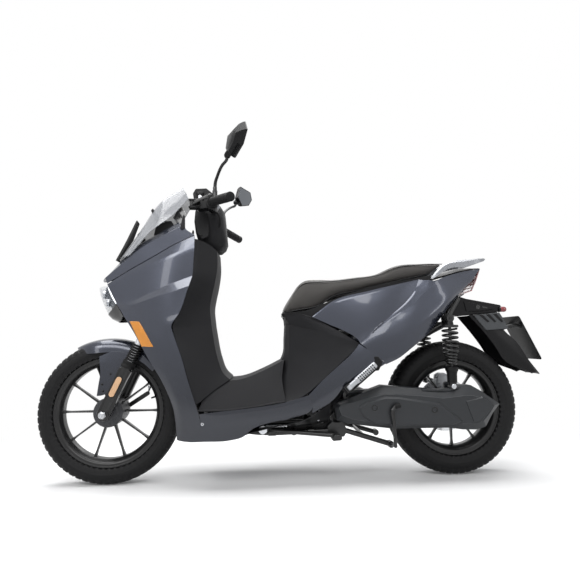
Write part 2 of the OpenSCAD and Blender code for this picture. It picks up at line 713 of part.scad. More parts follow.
module belt_loop(grow, y0, y1) {
  c = [rear_x, rear_tyre_r] - driver;
  length = norm(c);
  lean = asin((driven_r - driver_r) / length);
  heading = atan2(c[1], c[0]);
  up = [cos(heading + 90 + lean), sin(heading + 90 + lean)];
  down = [cos(heading - 90 - lean), sin(heading - 90 - lean)];
  far = [rear_x, rear_tyre_r];
  plate_xz([driver + up * (driver_r + grow), driver + down * (driver_r + grow),
    far + down * (driven_r + grow), far + up * (driven_r + grow)], y0, y1);
  disc_y(driver[0], driver[1], driver_r + grow, y0, y1);
  disc_y(rear_x, rear_tyre_r, driven_r + grow, y0, y1);
}
module drive_belt() {
  color("black") bike() difference() {
    belt_loop(4.5, -82, -66);
    belt_loop(0.5, -83, -65);
  }
}
case_outline = [[893, 303], [902, 316], [1083, 379], [1139, 374], [1314, 358], [1355, 360],
  [1403, 375], [1439, 374], [1478, 352], [1553, 299], [1520, 262], [1492, 210], [1452, 200],
  [1400, 202], [1343, 211], [1117, 212], [943, 235], [900, 250]];
case_hollow = [[898, 302], [905, 313], [1083, 375], [1139, 370], [1314, 354], [1355, 356],
  [1403, 370], [1437, 370], [1475, 349], [1546, 299], [1516, 264], [1489, 214], [1452, 204],
  [1400, 206], [1343, 215], [1117, 216], [943, 239], [904, 253]];
module drive_cover() {
  color("dimgray") bike() difference() {
    plate_xz(case_outline, -182, -100);
    plate_xz(case_hollow, -178, -99);
    block([1334, -174, 345], [1394, -99, 400]);
  }
}
module rear_caliper() {
  color("gray") bike() difference() {
    block([1372, 50, 344], [1438, 77.7, 402]);
    disc_y(rear_x, rear_tyre_r, rear_disc_r + 3, 58, 66);
  }
}
module rear_axle() {
  color("silver") bike() {
    disc_y(rear_x, rear_tyre_r, axle_r, -116, 116);
    disc_y(rear_x, rear_tyre_r, 14, 98, 110);
    disc_y(rear_x, rear_tyre_r, 14, -110, -98);
    disc_y(rear_x, rear_tyre_r, 12, 64.6, 78);
    disc_y(rear_x, rear_tyre_r, 12, -90, -84.4);
  }
}
// ---- rear shock absorbers ----
spring_top = 604;
spring_end = 448;
rod_end = 440;
module shock_rods() {
  color("black") bike() both() translate([shock_x, shock_y, 0]) difference() {
    union() {
      translate([0, 0, rod_end]) cylinder(h = shock_top_z - rod_end, r = 6);
      translate([0, 0, spring_top]) cylinder(h = 8, r = 33);
      translate([0, 0, spring_top]) cylinder(h = 26, r = 12);
      translate([0, 13, shock_top_z]) rotate([90, 0, 0]) cylinder(h = 26, r = 15);
    }
    translate([0, 14, shock_top_z]) rotate([90, 0, 0]) cylinder(h = 28, r = 6 + run_gap);
  }
}
module shock_bodies() {
  color("dimgray") bike() both() translate([shock_x, shock_y, 0]) difference() {
    union() {
      translate([0, 0, shock_eye_z + 10]) cylinder(h = 62, r = 16.5);
      translate([0, 0, shock_eye_z + 64]) cylinder(h = 10, r = 22);
      translate([0, 12, shock_eye_z]) rotate([90, 0, 0]) cylinder(h = 24, r = 14);
    }
    translate([0, 0, shock_eye_z + 12.5]) cylinder(h = 80, r = 6.4);
    translate([0, 13, shock_eye_z]) rotate([90, 0, 0]) cylinder(h = 26, r = 9.2);
  }
}
turns = 9.5;
ring_steps = 14;
function coil_r(t) = t < 0.55 ? 28 : 18 + 10 * max(0, (0.68 - t) / 0.13);
function coil_z(t) = spring_top - 5 - (spring_top - spring_end - 10) *
  (t < 0.55 ? t * 0.66 / 0.55 : 0.66 + (t - 0.55) * 0.34 / 0.45);
function coil_point(t) = [coil_r(t) * cos(360 * turns * t), coil_r(t) * sin(360 * turns * t),
  coil_z(t)];
module coil(wire) {
  steps = turns * ring_steps;
  loft([for (i = [0:steps])
    let (t = i / steps, p = coil_point(t), out = [cos(360 * turns * t), sin(360 * turns * t), 0])
      [for (k = [0:5]) p + wire * (cos(60 * k) * out + [0, 0, sin(60 * k)])]]);
}
module shock_springs() {
  color("black") bike() both() translate([shock_x, shock_y, 0]) coil(4);
}
// ---- stands and passenger footpegs ----
module centre_stand() {
  pivot = [centre_stand_pivot[0], 106, centre_stand_pivot[1]];
  foot = [1114, 122, 150];
  pedal = [1116, -190, 156];
  color("black") bike() difference() {
    union() {
      both() disc_y(pivot[0], pivot[2], 13, 98, 114);
      both() rod(pivot, foot, 10);
      both() disc_y(foot[0], foot[2], 13, 108, 136);
      rod([1012, -112, 181], [1012, 112, 181], 7);
      rod([foot[0], -128, foot[2]], pedal, 6);
      translate(pedal) sphere(r = 7.2);
      rod(pedal, pedal + [-6, -2, 138], 6.4);
      rod(pedal + [-10, -2, 132], pedal + [10, -2, 150], 7.6);
    }
    disc_y(pivot[0], pivot[2], 7 + run_gap, -121, 121);
  }
}
module side_stand() {
  pivot = [side_stand_pivot[0], -120, side_stand_pivot[1]];
  color("black") bike() difference() {
    union() {
      disc_y(pivot[0], pivot[2], 15, -126, -109);
      rod(pivot, [890, -166, 196], 8);
      rod([872, -163, 196], [900, -186, 188], 7);
    }
    disc_y(pivot[0], pivot[2], 7 + run_gap, -131, -108);
  }
}
peg_fold = 39.4;
module peg_place() {
  translate(flip(peg_pivot)) rotate([0, -peg_fold, 0]) children();
}
module peg_bracket() {
  peg_place() {
    for (z = [-13, 9.3])
      translate([0, 12, z]) cylinder(h = 3.7, r = 9);
    for (z = [-13, 9.3])
      translate([-16, 0, z]) cube([16, 16, 3.7]);
    translate([-16, 0, -13]) cube([5.5, 16, 26]);
    translate([0, 12, -13]) cylinder(h = 26, r = 4);
  }
}
module peg() {
  bike() peg_place() difference() {
    union() {
      translate([0, 12, -9]) cylinder(h = 18, r = 9);
      translate([4, 12, 0]) rotate([0, 90, 0]) cylinder(h = 130, r = 8.5);
      translate([40, 12, 0]) rotate([0, 90, 0]) cylinder(h = 90, r = 10);
    }
    translate([0, 12, -14]) cylinder(h = 28, r = 4 + run_gap);
  }
}
module peg_right() {
  color("silver") peg();
}
module peg_left() {
  color("silver") mirror([0, 1, 0]) peg();
}

main_frame();
battery_pack();
front_panel_left();
front_panel_right();
nose_cowl();
headlight_housing();
headlight_lens();
turn_signals_front();
windscreen();
display();
leg_shield();
floor_cover();
seat_front_cover();
sill_panels();
side_panel_left();
side_panel_right();
storage_bucket();
grab_rail();
tail_cover();
tail_light();
rear_mudguard();
plate_holder();
seat_base();
seat_cushion();
steering_stem();
handlebar();
bar_cover();
grip_left();
control_housings();
mirror_stalks();
fork_tubes();
throttle_grip();
brake_lever_left();
brake_lever_right();
mirror_left();
mirror_right();
horn_button();
start_button();
fork_sliders();
front_fender();
front_axle();
front_wheel();
front_tyre();
brake_arm();
swing_arm();
drive_cover();
rear_caliper();
motor_rotor();
drive_belt();
rear_axle();
rear_wheel();
rear_tyre();
rear_disc();
shock_bodies();
shock_rods();
shock_springs();
centre_stand();
side_stand();
peg_left();
peg_right();
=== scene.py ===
"""Looks of the electric moped scooter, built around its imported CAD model.

Places are given in millimetres from the ground under the front axle (x to the rear, y to the
right-hand side, z up), as in the CAD source, and at() turns them into the frame's metres.
"""

import math

import bmesh
import bpy
from mathutils import Matrix, Vector


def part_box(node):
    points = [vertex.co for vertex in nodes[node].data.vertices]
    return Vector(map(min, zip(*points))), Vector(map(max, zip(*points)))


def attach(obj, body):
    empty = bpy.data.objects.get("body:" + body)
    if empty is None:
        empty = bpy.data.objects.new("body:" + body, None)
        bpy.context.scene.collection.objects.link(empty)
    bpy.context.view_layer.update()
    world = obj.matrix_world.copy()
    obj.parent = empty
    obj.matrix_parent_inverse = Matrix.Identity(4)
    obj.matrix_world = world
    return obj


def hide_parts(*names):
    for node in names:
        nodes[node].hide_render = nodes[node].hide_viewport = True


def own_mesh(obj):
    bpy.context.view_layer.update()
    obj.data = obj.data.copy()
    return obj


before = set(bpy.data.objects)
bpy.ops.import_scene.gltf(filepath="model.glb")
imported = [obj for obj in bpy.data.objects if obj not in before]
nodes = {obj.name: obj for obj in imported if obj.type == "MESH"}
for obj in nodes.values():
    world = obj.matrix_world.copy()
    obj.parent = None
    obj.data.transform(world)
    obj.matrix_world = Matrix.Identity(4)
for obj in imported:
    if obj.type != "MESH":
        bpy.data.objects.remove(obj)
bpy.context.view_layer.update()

MM = 0.001
wheel_low, wheel_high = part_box("front_wheel")
AXLE_X = 0.5 * (wheel_low.x + wheel_high.x)
FRONT_AXLE = (0, 283)
REAR_AXLE = (1410, 274)
LEFT, RIGHT = 1, -1
SIDES = ((LEFT, "left"), (RIGHT, "right"))


def at(x, y, z):
    """A point given in millimetres from the ground under the front axle, in the frame's metres."""
    return Vector((AXLE_X + x * MM, y * MM, z * MM))


# ---- camera, floor and light ----
CAMERA_PLACE = (-0.1464, -1.9868, 0.5596)
CAMERA_YAW, CAMERA_PITCH, CAMERA_ROLL = 3.69, 6.15, -0.72
CAMERA_LENS, CAMERA_SENSOR = 29.0, 36


def place_camera():
    yaw, pitch, roll = (math.radians(a) for a in (CAMERA_YAW, CAMERA_PITCH, CAMERA_ROLL))
    forward = Vector((math.sin(yaw) * math.cos(pitch), math.cos(yaw) * math.cos(pitch), math.sin(pitch)))
    right = Vector((math.cos(yaw), -math.sin(yaw), 0))
    up = right.cross(forward)
    side = math.cos(roll) * right + math.sin(roll) * up
    top = math.cos(roll) * up - math.sin(roll) * right
    camera = bpy.data.objects.new("camera", bpy.data.cameras.new("camera"))
    bpy.context.scene.collection.objects.link(camera)
    camera.matrix_world = Matrix.Translation(CAMERA_PLACE) @ Matrix(
        (side, top, -forward)).transposed().to_4x4()
    camera.data.sensor_width = CAMERA_SENSOR
    camera.data.lens = CAMERA_LENS
    bpy.context.scene.camera = camera


def lamp(name, place, target, size, power):
    """A rectangular area lamp pointed at its target."""
    data = bpy.data.lights.new(name, "AREA")
    data.shape = "RECTANGLE"
    data.size, data.size_y = size
    data.energy = power
    obj = bpy.data.objects.new(name, data)
    bpy.context.scene.collection.objects.link(obj)
    obj.location = place
    obj.rotation_euler = (Vector(target) - Vector(place)).to_track_quat("-Z", "Y").to_euler()


def add_node(tree, kind, inputs=(), **settings):
    """A shader node; each input is a plain value or the output of another node."""
    node = tree.nodes.new(kind)
    for key, value in settings.items():
        setattr(node, key, value)
    for socket, value in dict(inputs).items():
        if isinstance(value, bpy.types.NodeSocket):
            tree.links.new(value, node.inputs[socket])
        else:
            node.inputs[socket].default_value = value
    return node


def seen_directly(tree):
    """A value of 1 for camera, glossy and transmission rays, and 0 for the rest."""
    rays = add_node(tree, "ShaderNodeLightPath").outputs
    value = rays["Is Camera Ray"]
    for kind in ("Is Glossy Ray", "Is Transmission Ray"):
        value = add_node(tree, "ShaderNodeMath", {0: value, 1: rays[kind]},
                         operation="MAXIMUM").outputs[0]
    return value


WORLD_COLOUR, WORLD_STRENGTH = (0.62, 0.64, 0.68, 1), 0.3
WHITE = (1, 1, 1, 1)


def make_world():
    """Soft light from all round, with plain white behind the scooter."""
    world = bpy.data.worlds.new("studio")
    world.use_nodes = True
    bpy.context.scene.world = world
    tree = world.node_tree
    tree.nodes.clear()
    light = add_node(tree, "ShaderNodeBackground", {"Color": WORLD_COLOUR, "Strength": WORLD_STRENGTH})
    white = add_node(tree, "ShaderNodeBackground", {"Color": WHITE, "Strength": 1})
    mix = add_node(tree, "ShaderNodeMixShader",
                   {0: seen_directly(tree), 1: light.outputs[0], 2: white.outputs[0]})
    add_node(tree, "ShaderNodeOutputWorld", {0: mix.outputs[0]})


FLOOR_HALF = 40
FLOOR_COLOUR = (0.86, 0.86, 0.86, 1)
FLOOR_FADE = {"From Min": 0.75, "From Max": 1.9, "To Min": 0.08, "To Max": 1.0}


def make_floor():
    """A white floor that glows more with distance, so that it meets the background unseen."""
    half = FLOOR_HALF
    mesh = bpy.data.meshes.new("floor")
    mesh.from_pydata([(-half, -half, 0), (half, -half, 0), (half, half, 0), (-half, half, 0)], [],
                     [(0, 1, 2, 3)])
    floor = bpy.data.objects.new("floor", mesh)
    bpy.context.scene.collection.objects.link(floor)
    floor.location.z = -0.0005
    material = bpy.data.materials.new("floor")
    material.use_nodes = True
    tree = material.node_tree
    tree.nodes.clear()
    diffuse = add_node(tree, "ShaderNodeBsdfDiffuse", {"Color": FLOOR_COLOUR})
    glow = add_node(tree, "ShaderNodeEmission")
    place = add_node(tree, "ShaderNodeNewGeometry").outputs["Position"]
    far = add_node(tree, "ShaderNodeVectorMath", {0: place}, operation="LENGTH").outputs["Value"]
    fade = add_node(tree, "ShaderNodeMapRange", {"Value": far, **FLOOR_FADE},
                    interpolation_type="SMOOTHSTEP")
    share = add_node(tree, "ShaderNodeMath", {0: seen_directly(tree), 1: fade.outputs["Result"]},
                     operation="MULTIPLY")
    mix = add_node(tree, "ShaderNodeMixShader",
                   {0: share.outputs[0], 1: diffuse.outputs[0], 2: glow.outputs[0]})
    add_node(tree, "ShaderNodeOutputMaterial", {0: mix.outputs[0]})
    floor.data.materials.append(material)


place_camera()
make_world()
make_floor()
# Each lamp: name, place, target, size in metres and power in watts.
LAMPS = [
    ("overhead", (-0.3, 0.1, 3.2), (-0.3, 0.1, 0), (3.8, 2.6), 190),
    ("front_high", (-0.9, -2.6, 2.5), (-0.2, 0, 0.6), (4.2, 0.9), 66),
    ("front_left", (-2.6, -2.4, 1.9), (-0.4, 0, 0.6), (0.4, 1.8), 8),
    ("rear_left", (2.8, -2.2, 1.6), (0.5, 0, 0.6), (0.4, 1.6), 8),
    ("back", (0.6, 3.0, 2.2), (0, 0, 0.6), (2.4, 1.2), 18)]
for lamp_values in LAMPS:
    lamp(*lamp_values)
bpy.context.scene.view_settings.view_transform = "Standard"


# ---- materials ----
def linear(rgb):
    """Linear colour of an 8-bit sRGB one."""
    share = [c / 255 for c in rgb]
    return [s / 12.92 if s <= 0.04045 else ((s + 0.055) / 1.055) ** 2.4 for s in share]


def finish_of(name, rgb, rough, metal=0.0, coat=0.0, grain=900.0, bump=0.12, shade=0.1, wear=0.12,
              alpha=1.0, sheen=0.0, deep=None):
    """A procedural finish: fine grain in bump and roughness, slow colour drift and worn edges; with deep,
    painted shade darkens the colour towards the ground.
    """
    material = bpy.data.materials.new(name)
    material.use_nodes = True
    tree = material.node_tree
    base = linear(rgb)

    def tone(scale, lift=0.0):
        return [min(1, c * scale + lift) for c in base] + [1]

    place = add_node(tree, "ShaderNodeTexCoord").outputs["Object"]
    fine = add_node(tree, "ShaderNodeTexNoise", {"Vector": place, "Scale": grain, "Detail": 3})
    slow = add_node(tree, "ShaderNodeTexNoise", {"Vector": place, "Scale": 7, "Detail": 4})
    drift = add_node(tree, "ShaderNodeMix", {"Factor": slow.outputs["Fac"], 6: tone(1 - shade),
                                             7: tone(1 + shade)}, data_type="RGBA")
    edge = add_node(tree, "ShaderNodeNewGeometry").outputs["Pointiness"]
    ramp = add_node(tree, "ShaderNodeMapRange", {"Value": edge, "From Min": 0.53, "From Max": 0.62,
                                                 "To Max": wear})
    colour = add_node(tree, "ShaderNodeMix", {"Factor": ramp.outputs["Result"], 6: drift.outputs[2],
                                              7: tone(2.2, 0.05)}, data_type="RGBA").outputs[2]
    # Painted shade: the colour fades to the deep colour towards the ground, fully below 0.2 m and not at all
    # above 0.82 m of the object's own Z.
    if deep:
        height = add_node(tree, "ShaderNodeSeparateXYZ", {0: place}).outputs["Z"]
        low = add_node(tree, "ShaderNodeMapRange", {"Value": height, "From Min": 0.2, "From Max": 0.82},
                       interpolation_type="SMOOTHSTEP")
        colour = add_node(tree, "ShaderNodeMix", {"Factor": low.outputs["Result"], 6: linear(deep) + [1],
                                                  7: colour}, data_type="RGBA").outputs[2]
    gloss = add_node(tree, "ShaderNodeMapRange", {
        "Value": fine.outputs["Fac"], "From Min": 0.3, "From Max": 0.7,
        "To Min": max(0.02, rough - 0.06), "To Max": min(1.0, rough + 0.06)})
    relief = add_node(tree, "ShaderNodeBump", {
        "Height": fine.outputs["Fac"], "Strength": bump, "Distance": 0.0006})
    shader = tree.nodes["Principled BSDF"]
    for socket, output in (("Base Color", colour), ("Roughness", gloss.outputs["Result"]),
                           ("Normal", relief.outputs["Normal"])):
        tree.links.new(output, shader.inputs[socket])
    for socket, value in (("Metallic", metal), ("Coat Weight", coat), ("Coat Roughness", 0.05),
                          ("Sheen Weight", sheen), ("Alpha", alpha)):
        shader.inputs[socket].default_value = value
    if not metal and not coat:
        shader.inputs["Specular IOR Level"].default_value = 0.2
    return material


def add_glow(material, rgb, strength):
    """Lets a lens shine a little by itself, as one with light passing through it."""
    shader = material.node_tree.nodes["Principled BSDF"]
    shader.inputs["Emission Color"].default_value = linear(rgb) + [1]
    shader.inputs["Emission Strength"].default_value = strength
    return material


# The paint carries painted shade: its deep colour (20, 24, 34) darkens the lower panels towards the ground.
PAINT = finish_of("gunmetal_paint", (56, 60, 72), 0.26, metal=0.62, coat=0.7, grain=2400, bump=0.05,
                  shade=0.05, wear=0.05, deep=(20, 24, 34))
BLACK = finish_of("textured_plastic", (24, 24, 26), 0.72, grain=1500, bump=0.3, shade=0.12, wear=0.1)
DARK = finish_of("smooth_black_plastic", (11, 11, 13), 0.36, grain=700, bump=0.06, wear=0.15)
GLOSS = finish_of("gloss_black", (12, 12, 14), 0.12, coat=0.6, grain=500, bump=0.02, wear=0.05)
SATIN = finish_of("satin_black_metal", (11, 11, 12), 0.34, metal=0.35, coat=0.2, grain=900, bump=0.08,
                  wear=0.3)
CASE = finish_of("drive_case", (34, 36, 39), 0.4, metal=0.25, grain=1300, bump=0.18, wear=0.2)
SEAT = finish_of("seat_cover", (60, 58, 56), 0.54, grain=520, bump=0.42, shade=0.1, wear=0.04,
                 sheen=0.15)
RUBBER = finish_of("rubber", (14, 14, 15), 0.66, grain=600, bump=0.2, wear=0.08)
TYRE = finish_of("tyre_rubber", (17, 17, 18), 0.6, grain=420, bump=0.25, shade=0.16, wear=0.25)
STEEL = finish_of("bright_steel", (190, 192, 196), 0.26, metal=1.0, grain=1100, bump=0.1, wear=0.2)
ALLOY = finish_of("cast_alloy", (168, 170, 174), 0.42, metal=0.85, grain=800, bump=0.2, wear=0.2)
RAIL = finish_of("silver_rail", (128, 130, 134), 0.34, metal=0.5, coat=0.3, grain=1300, bump=0.08)
AMBER = add_glow(finish_of("amber_lens", (186, 118, 30), 0.24, coat=0.5, grain=260, bump=0.3,
                           shade=0.2), (214, 140, 34), 0.03)
RED = add_glow(finish_of("smoked_red_lens", (110, 26, 32), 0.2, coat=0.7, grain=240, bump=0.2,
                         shade=0.2), (150, 40, 44), 0.08)
REFLECTOR = finish_of("amber_reflector", (190, 152, 116), 0.3, coat=0.5, grain=380, bump=0.5,
                      shade=0.18)
GLASS = finish_of("clear_lens", (150, 156, 164), 0.06, alpha=0.16, coat=0.0, grain=200, bump=0.02,
                  wear=0.0)
SMOKE = finish_of("smoked_screen", (150, 152, 156), 0.12, alpha=0.55, coat=0.3, grain=200, bump=0.02,
                  wear=0.0)
MIRROR = finish_of("mirror_glass", (96, 100, 106), 0.05, metal=1.0, grain=300, bump=0.01, wear=0.0)
LED = add_glow(finish_of("led", (245, 248, 250), 0.2, grain=300, bump=0.05), (245, 248, 255), 0.55)
BUTTON_GREY = finish_of("grey_button", (120, 122, 126), 0.45, grain=900, bump=0.1)
BUTTON_RED = finish_of("red_button", (150, 34, 30), 0.4, grain=900, bump=0.1)
HUB = finish_of("hub_casting", (52, 53, 56), 0.5, metal=0.3, grain=700, bump=0.25, wear=0.2)
CASE_TOP = finish_of("case_top", (74, 74, 74), 0.5, metal=0.3, grain=1100, bump=0.2)
CHEEK = finish_of("mudguard_panel", (66, 68, 70), 0.55, grain=1500, bump=0.3, wear=0.1)
BATTERY = finish_of("battery_case", (70, 74, 78), 0.5, grain=800, bump=0.2)

NODE_FINISH = {
    SATIN: ["main_frame", "steering_stem", "fork_sliders", "handlebar", "centre_stand",
            "side_stand", "shock_rods", "shock_bodies", "brake_arm"],
    STEEL: ["front_axle", "rear_axle", "fork_tubes", "rear_disc"],
    CASE: ["swing_arm"],
    ALLOY: ["motor_rotor"],
    DARK: ["seat_base", "storage_bucket"],
    BATTERY: ["battery_pack"],
    RUBBER: ["drive_belt"],
    BUTTON_GREY: ["horn_button"],
    BUTTON_RED: ["start_button"],
}
for node_finish, names in NODE_FINISH.items():
    for node_name in names:
        nodes[node_name].data.materials.clear()
        nodes[node_name].data.materials.append(node_finish)


# ---- mesh helpers ----
def turns(count):
    """Equal angles round a circle."""
    return [2 * math.pi * k / count for k in range(count)]


def squared(angle, power):
    """Cosine and sine of an angle round a rounded square; a lower power is squarer."""
    c, s = math.cos(angle), math.sin(angle)
    return math.copysign(abs(c) ** power, c), math.copysign(abs(s) ** power, s)


def spline(points, steps, sharp=()):
    """Points along a smooth curve through the given ones, with a corner at each sharp index."""
    last = len(points) - 1
    chord = [max(1e-6, (points[i + 1] - points[i]).length) for i in range(last)]
    out = []
    for i in range(last):
        run = points[i + 1] - points[i]
        ends = []
        for k in (i, i + 1):
            if k in (0, last) or k in sharp:
                ends.append(run)
            else:
                before = (points[k] - points[k - 1]) / chord[k - 1]
                after = (points[k + 1] - points[k]) / chord[k]
                blend = (before * chord[k] + after * chord[k - 1]) / (chord[k] + chord[k - 1])
                ends.append(blend * chord[i])
        for s in range(steps):
            t = s / steps
            out.append((2 * t ** 3 - 3 * t ** 2 + 1) * points[i] + (t ** 3 - 2 * t ** 2 + t) * ends[0]
                       + (3 * t ** 2 - 2 * t ** 3) * points[i + 1] + (t ** 3 - t ** 2) * ends[1])
    return out + [points[-1].copy()]


def smooth_rows(rows, steps, sharp_rows=(), sharp_cols=()):
    """A finer grid of points on the smooth surface through a coarse grid."""
    along = [spline([at(*p) for p in row], steps, sharp_cols) for row in rows]
    columns = [spline([row[k] for row in along], steps, sharp_rows) for k in range(len(along[0]))]
    return [[column[i] for column in columns] for i in range(len(columns[0]))]


class Shape:
    """Gathers points and faces of one piece, in the frame's metres."""

    def __init__(self):
        self.points = []
        self.faces = []

    def add(self, points, faces):
        start = len(self.points)
        self.points += [Vector(p) for p in points]
        self.faces += [tuple(start + i for i in f) for f in faces]
        return self

    def rings(self, rings, caps=True, closed=True):
        """Skin over equal rings of points."""
        count = len(rings[0])
        faces = []
        for i in range(len(rings) - 1):
            for j in range(count if closed else count - 1):
                a, b = i * count + j, i * count + (j + 1) % count
                faces.append((a, b, b + count, a + count))
        if caps:
            faces.append(tuple(range(count - 1, -1, -1)))
            faces.append(tuple((len(rings) - 1) * count + j for j in range(count)))
        return self.add([p for ring in rings for p in ring], faces)

    def tube(self, path, radius, sides=12, steps=1):
        """A round tube along points in millimetres; radius is one value or one for each point."""
        line = [at(*p) for p in path]
        sizes = [Vector((r, 0, 0)) for r in (radius if isinstance(radius, (list, tuple))
                                             else [radius] * len(line))]
        if steps > 1:
            line, sizes = spline(line, steps), spline(sizes, steps)
        rings = []
        side = None
        for i, point in enumerate(line):
            ahead = (line[min(i + 1, len(line) - 1)] - line[max(i - 1, 0)]).normalized()
            if side is None:
                side = ahead.orthogonal().normalized()
            side = (side - side.dot(ahead) * ahead).normalized()
            up = ahead.cross(side)
            r = sizes[i].x * MM
            rings.append([point + r * (math.cos(a) * side + math.sin(a) * up) for a in turns(sides)])
        return self.rings(rings)

    def lathe(self, profile, centre, axis=(0, 1, 0), sides=32):
        """A body turned from [distance along the axis, radius] pairs, closed at both ends."""
        base, axis = at(*centre), Vector(axis).normalized()
        side = axis.orthogonal().normalized()
        up = axis.cross(side)
        rings = [[base + d * MM * axis + max(r, 0.05) * MM * (math.cos(a) * side + math.sin(a) * up)
                  for a in turns(sides)] for d, r in profile]
        return self.rings(rings)

    def prism(self, outline, y0, y1):
        """An outline of (x, z) points given a width from y0 to y1."""
        return self.rings([[at(x, y, z) for x, z in outline] for y in (y0, y1)])

    def slab(self, low, high):
        """A box between two corners."""
        (x0, y0, z0), (x1, y1, z1) = low, high
        return self.prism([(x0, z0), (x1, z0), (x1, z1), (x0, z1)], y0, y1)

    def grid(self, rows):
        """An open skin through equal rows of points."""
        count = len(rows[0])
        faces = [(i * count + j, i * count + j + 1, (i + 1) * count + j + 1, (i + 1) * count + j)
                 for i in range(len(rows) - 1) for j in range(count - 1)]
        return self.add([p for row in rows for p in row], faces)

    def moved(self, place, tilt):
        """Turns what was drawn about the y axis at (0, 0, 0) and moves it to its place."""
        turn = Matrix.Translation(at(*place)) @ Matrix.Rotation(tilt, 4, "Y")
        self.points = [turn @ (p - at(0, 0, 0)) for p in self.points]
        return self

    def bolt(self, centre, axis, radius=6.0):
        """A button-head bolt with a socket."""
        r = radius
        return self.lathe([(-2, 0.98 * r), (0, r), (0.35 * r, 0.86 * r), (0.5 * r, 0.62 * r),
                           (0.5 * r, 0.36 * r), (0.12 * r, 0.34 * r), (0.12 * r, 0)],
                          centre, axis, 18)

    def build(self, name, material, body="chassis", side=LEFT, bevel=0.0, angle=32, replaces=(),
              slot=None, solid=0.0, outward=None, segments=2):
        """Makes the object with its material; side RIGHT mirrors what was drawn."""
        points = [Vector((p.x, p.y * side, p.z)) for p in self.points]
        mesh = bpy.data.meshes.new(name)
        faces = self.faces if side == LEFT else [f[::-1] for f in self.faces]
        mesh.from_pydata(points, [], faces)
        if outward is not None:
            face_sum = sum((p.normal * p.area for p in mesh.polygons), Vector())
            if face_sum.dot(Vector(outward)) < 0:
                mesh.flip_normals()
        elif not solid:
            turn_outward(mesh)
        mesh.materials.append(material)
        mesh.shade_smooth()
        mesh.set_sharp_from_angle(angle=math.radians(angle))
        obj = bpy.data.objects.new(name, mesh)
        bpy.context.scene.collection.objects.link(obj)
        if solid:
            wall = obj.modifiers.new("wall", "SOLIDIFY")
            wall.thickness = solid * MM
            wall.offset = -1
            wall.use_even_offset = True
        if bevel:
            soften = obj.modifiers.new("soften", "BEVEL")
            soften.width = bevel * MM
            soften.segments = segments
            soften.limit_method = "ANGLE"
            soften.angle_limit = math.radians(angle)
            soften.harden_normals = True
        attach(obj, body)
        if replaces:
            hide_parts(*replaces)
        return obj


def turn_outward(mesh):
    """Turns every closed shell's faces outward."""
    work = bmesh.new()
    work.from_mesh(mesh)
    bmesh.ops.recalc_face_normals(work, faces=work.faces)
    work.to_mesh(mesh)
    work.free()


def whole(rows):
    """Rows from the left edge to the middle, completed with their mirror image."""
    return [row + [(x, -y, z) for x, y, z in reversed(row[:-1])] for row in rows]


def panel(name, rows, material, body="chassis", replaces=(), side=LEFT, wall=3.0, steps=6,
          outward=(0, -1, 0), sharp_rows=(), sharp_cols=(), bevel=0.8, angle=32):
    """A moulded panel: a smooth skin through its rows of points, with a wall and softened edges."""
    out = Vector(outward)
    return Shape().grid(smooth_rows(rows, steps, sharp_rows, sharp_cols)).build(
        name, material, body, side=side, bevel=bevel, angle=angle, replaces=replaces, solid=wall,
        outward=(out.x, out.y * side, out.z))


# ---- painted front bodywork ----
# Rows run from the nose to the rear edge of the panel. Rows 2 and 3 bound the bright chamfer.
FRONT_ROWS = [
    [(-14, -58, 796), (74, -88, 843), (176, -120, 893), (266, -143, 940), (350, -164, 974)],
    [(-10, -62, 788), (80, -94, 830), (184, -132, 872), (268, -156, 900), (351, -172, 922)],
    [(10, -68, 752), (82, -104, 722), (184, -142, 754), (262, -162, 784), (346, -172, 814)],
    [(24, -74, 722), (86, -112, 706), (188, -163, 728), (264, -188, 748), (335, -203, 770)],
    [(48, -86, 690), (112, -122, 672), (188, -160, 670), (244, -182, 660), (300, -197, 668)],
    [(64, -98, 668), (126, -130, 646), (188, -160, 636), (236, -180, 628), (270, -192, 617)],
    [(118, -128, 592), (160, -150, 582), (200, -168, 582), (240, -180, 583), (279, -190, 585)],
    [(176, -145, 495), (214, -165, 498), (246, -178, 499), (280, -188, 499), (311, -197, 498)],
    [(238, -155, 397), (266, -175, 403), (290, -186, 408), (314, -195, 413), (335, -201, 417)],
    [(276, -158, 306), (306, -180, 300), (330, -190, 297), (352, -197, 294), (376, -201, 291)],
    [(290, -150, 190), (318, -165, 187), (345, -174, 186), (372, -180, 187), (400, -183, 188)]]
# The cowl between them, from its edge on the panel to the middle.
COWL_ROWS = [
    [(-15, -56, 800), (-26, -47, 824), (-40, -24, 816), (-46, 0, 812)],
    [(74, -85, 847), (52, -70, 884), (36, -40, 894), (28, 0, 898)],
    [(176, -117, 897), (124, -88, 938), (106, -50, 958), (96, 0, 964)],
    [(266, -140, 944), (204, -104, 982), (182, -60, 1002), (172, 0, 1008)],
    [(350, -161, 977), (290, -122, 1022), (272, -70, 1052), (264, 0, 1060)]]


for side, word in SIDES:
    panel(f"front_panel_skin_{word}", FRONT_ROWS, PAINT, replaces=[f"front_panel_{word}"],
          side=side, sharp_rows=(1, 2, 3), wall=3.2, bevel=0.9, steps=7, angle=24)
panel("nose_cowl_skin", whole(COWL_ROWS), PAINT, replaces=["nose_cowl"], outward=(-0.5, 0, 1),
      sharp_cols=(1, 5), wall=3.0, bevel=0.9, steps=7, angle=26)

# Headlight: gloss black surround, clear lens, two projector units and a bright strip on each side.
LENS_ROWS = [
    [(-12, -57, 788), (-44, -42, 786), (-56, -22, 782), (-60, 0, 780)],
    [(-2, -60, 768), (-36, -44, 762), (-50, -26, 756), (-54, 0, 754)],
    [(14, -68, 738), (-18, -50, 726), (-33, -32, 716), (-38, 0, 712)],
    [(30, -78, 712), (4, -58, 690), (-13, -36, 676), (-18, 0, 672)]]
CHIN_ROWS = [
    [(28, -78, 711), (4, -58, 688), (-13, -36, 674), (-18, 0, 670)],
    [(46, -86, 688), (24, -64, 664), (4, -38, 656), (0, 0, 653)],
    [(62, -94, 664), (46, -70, 646), (30, -40, 642), (26, 0, 640)]]


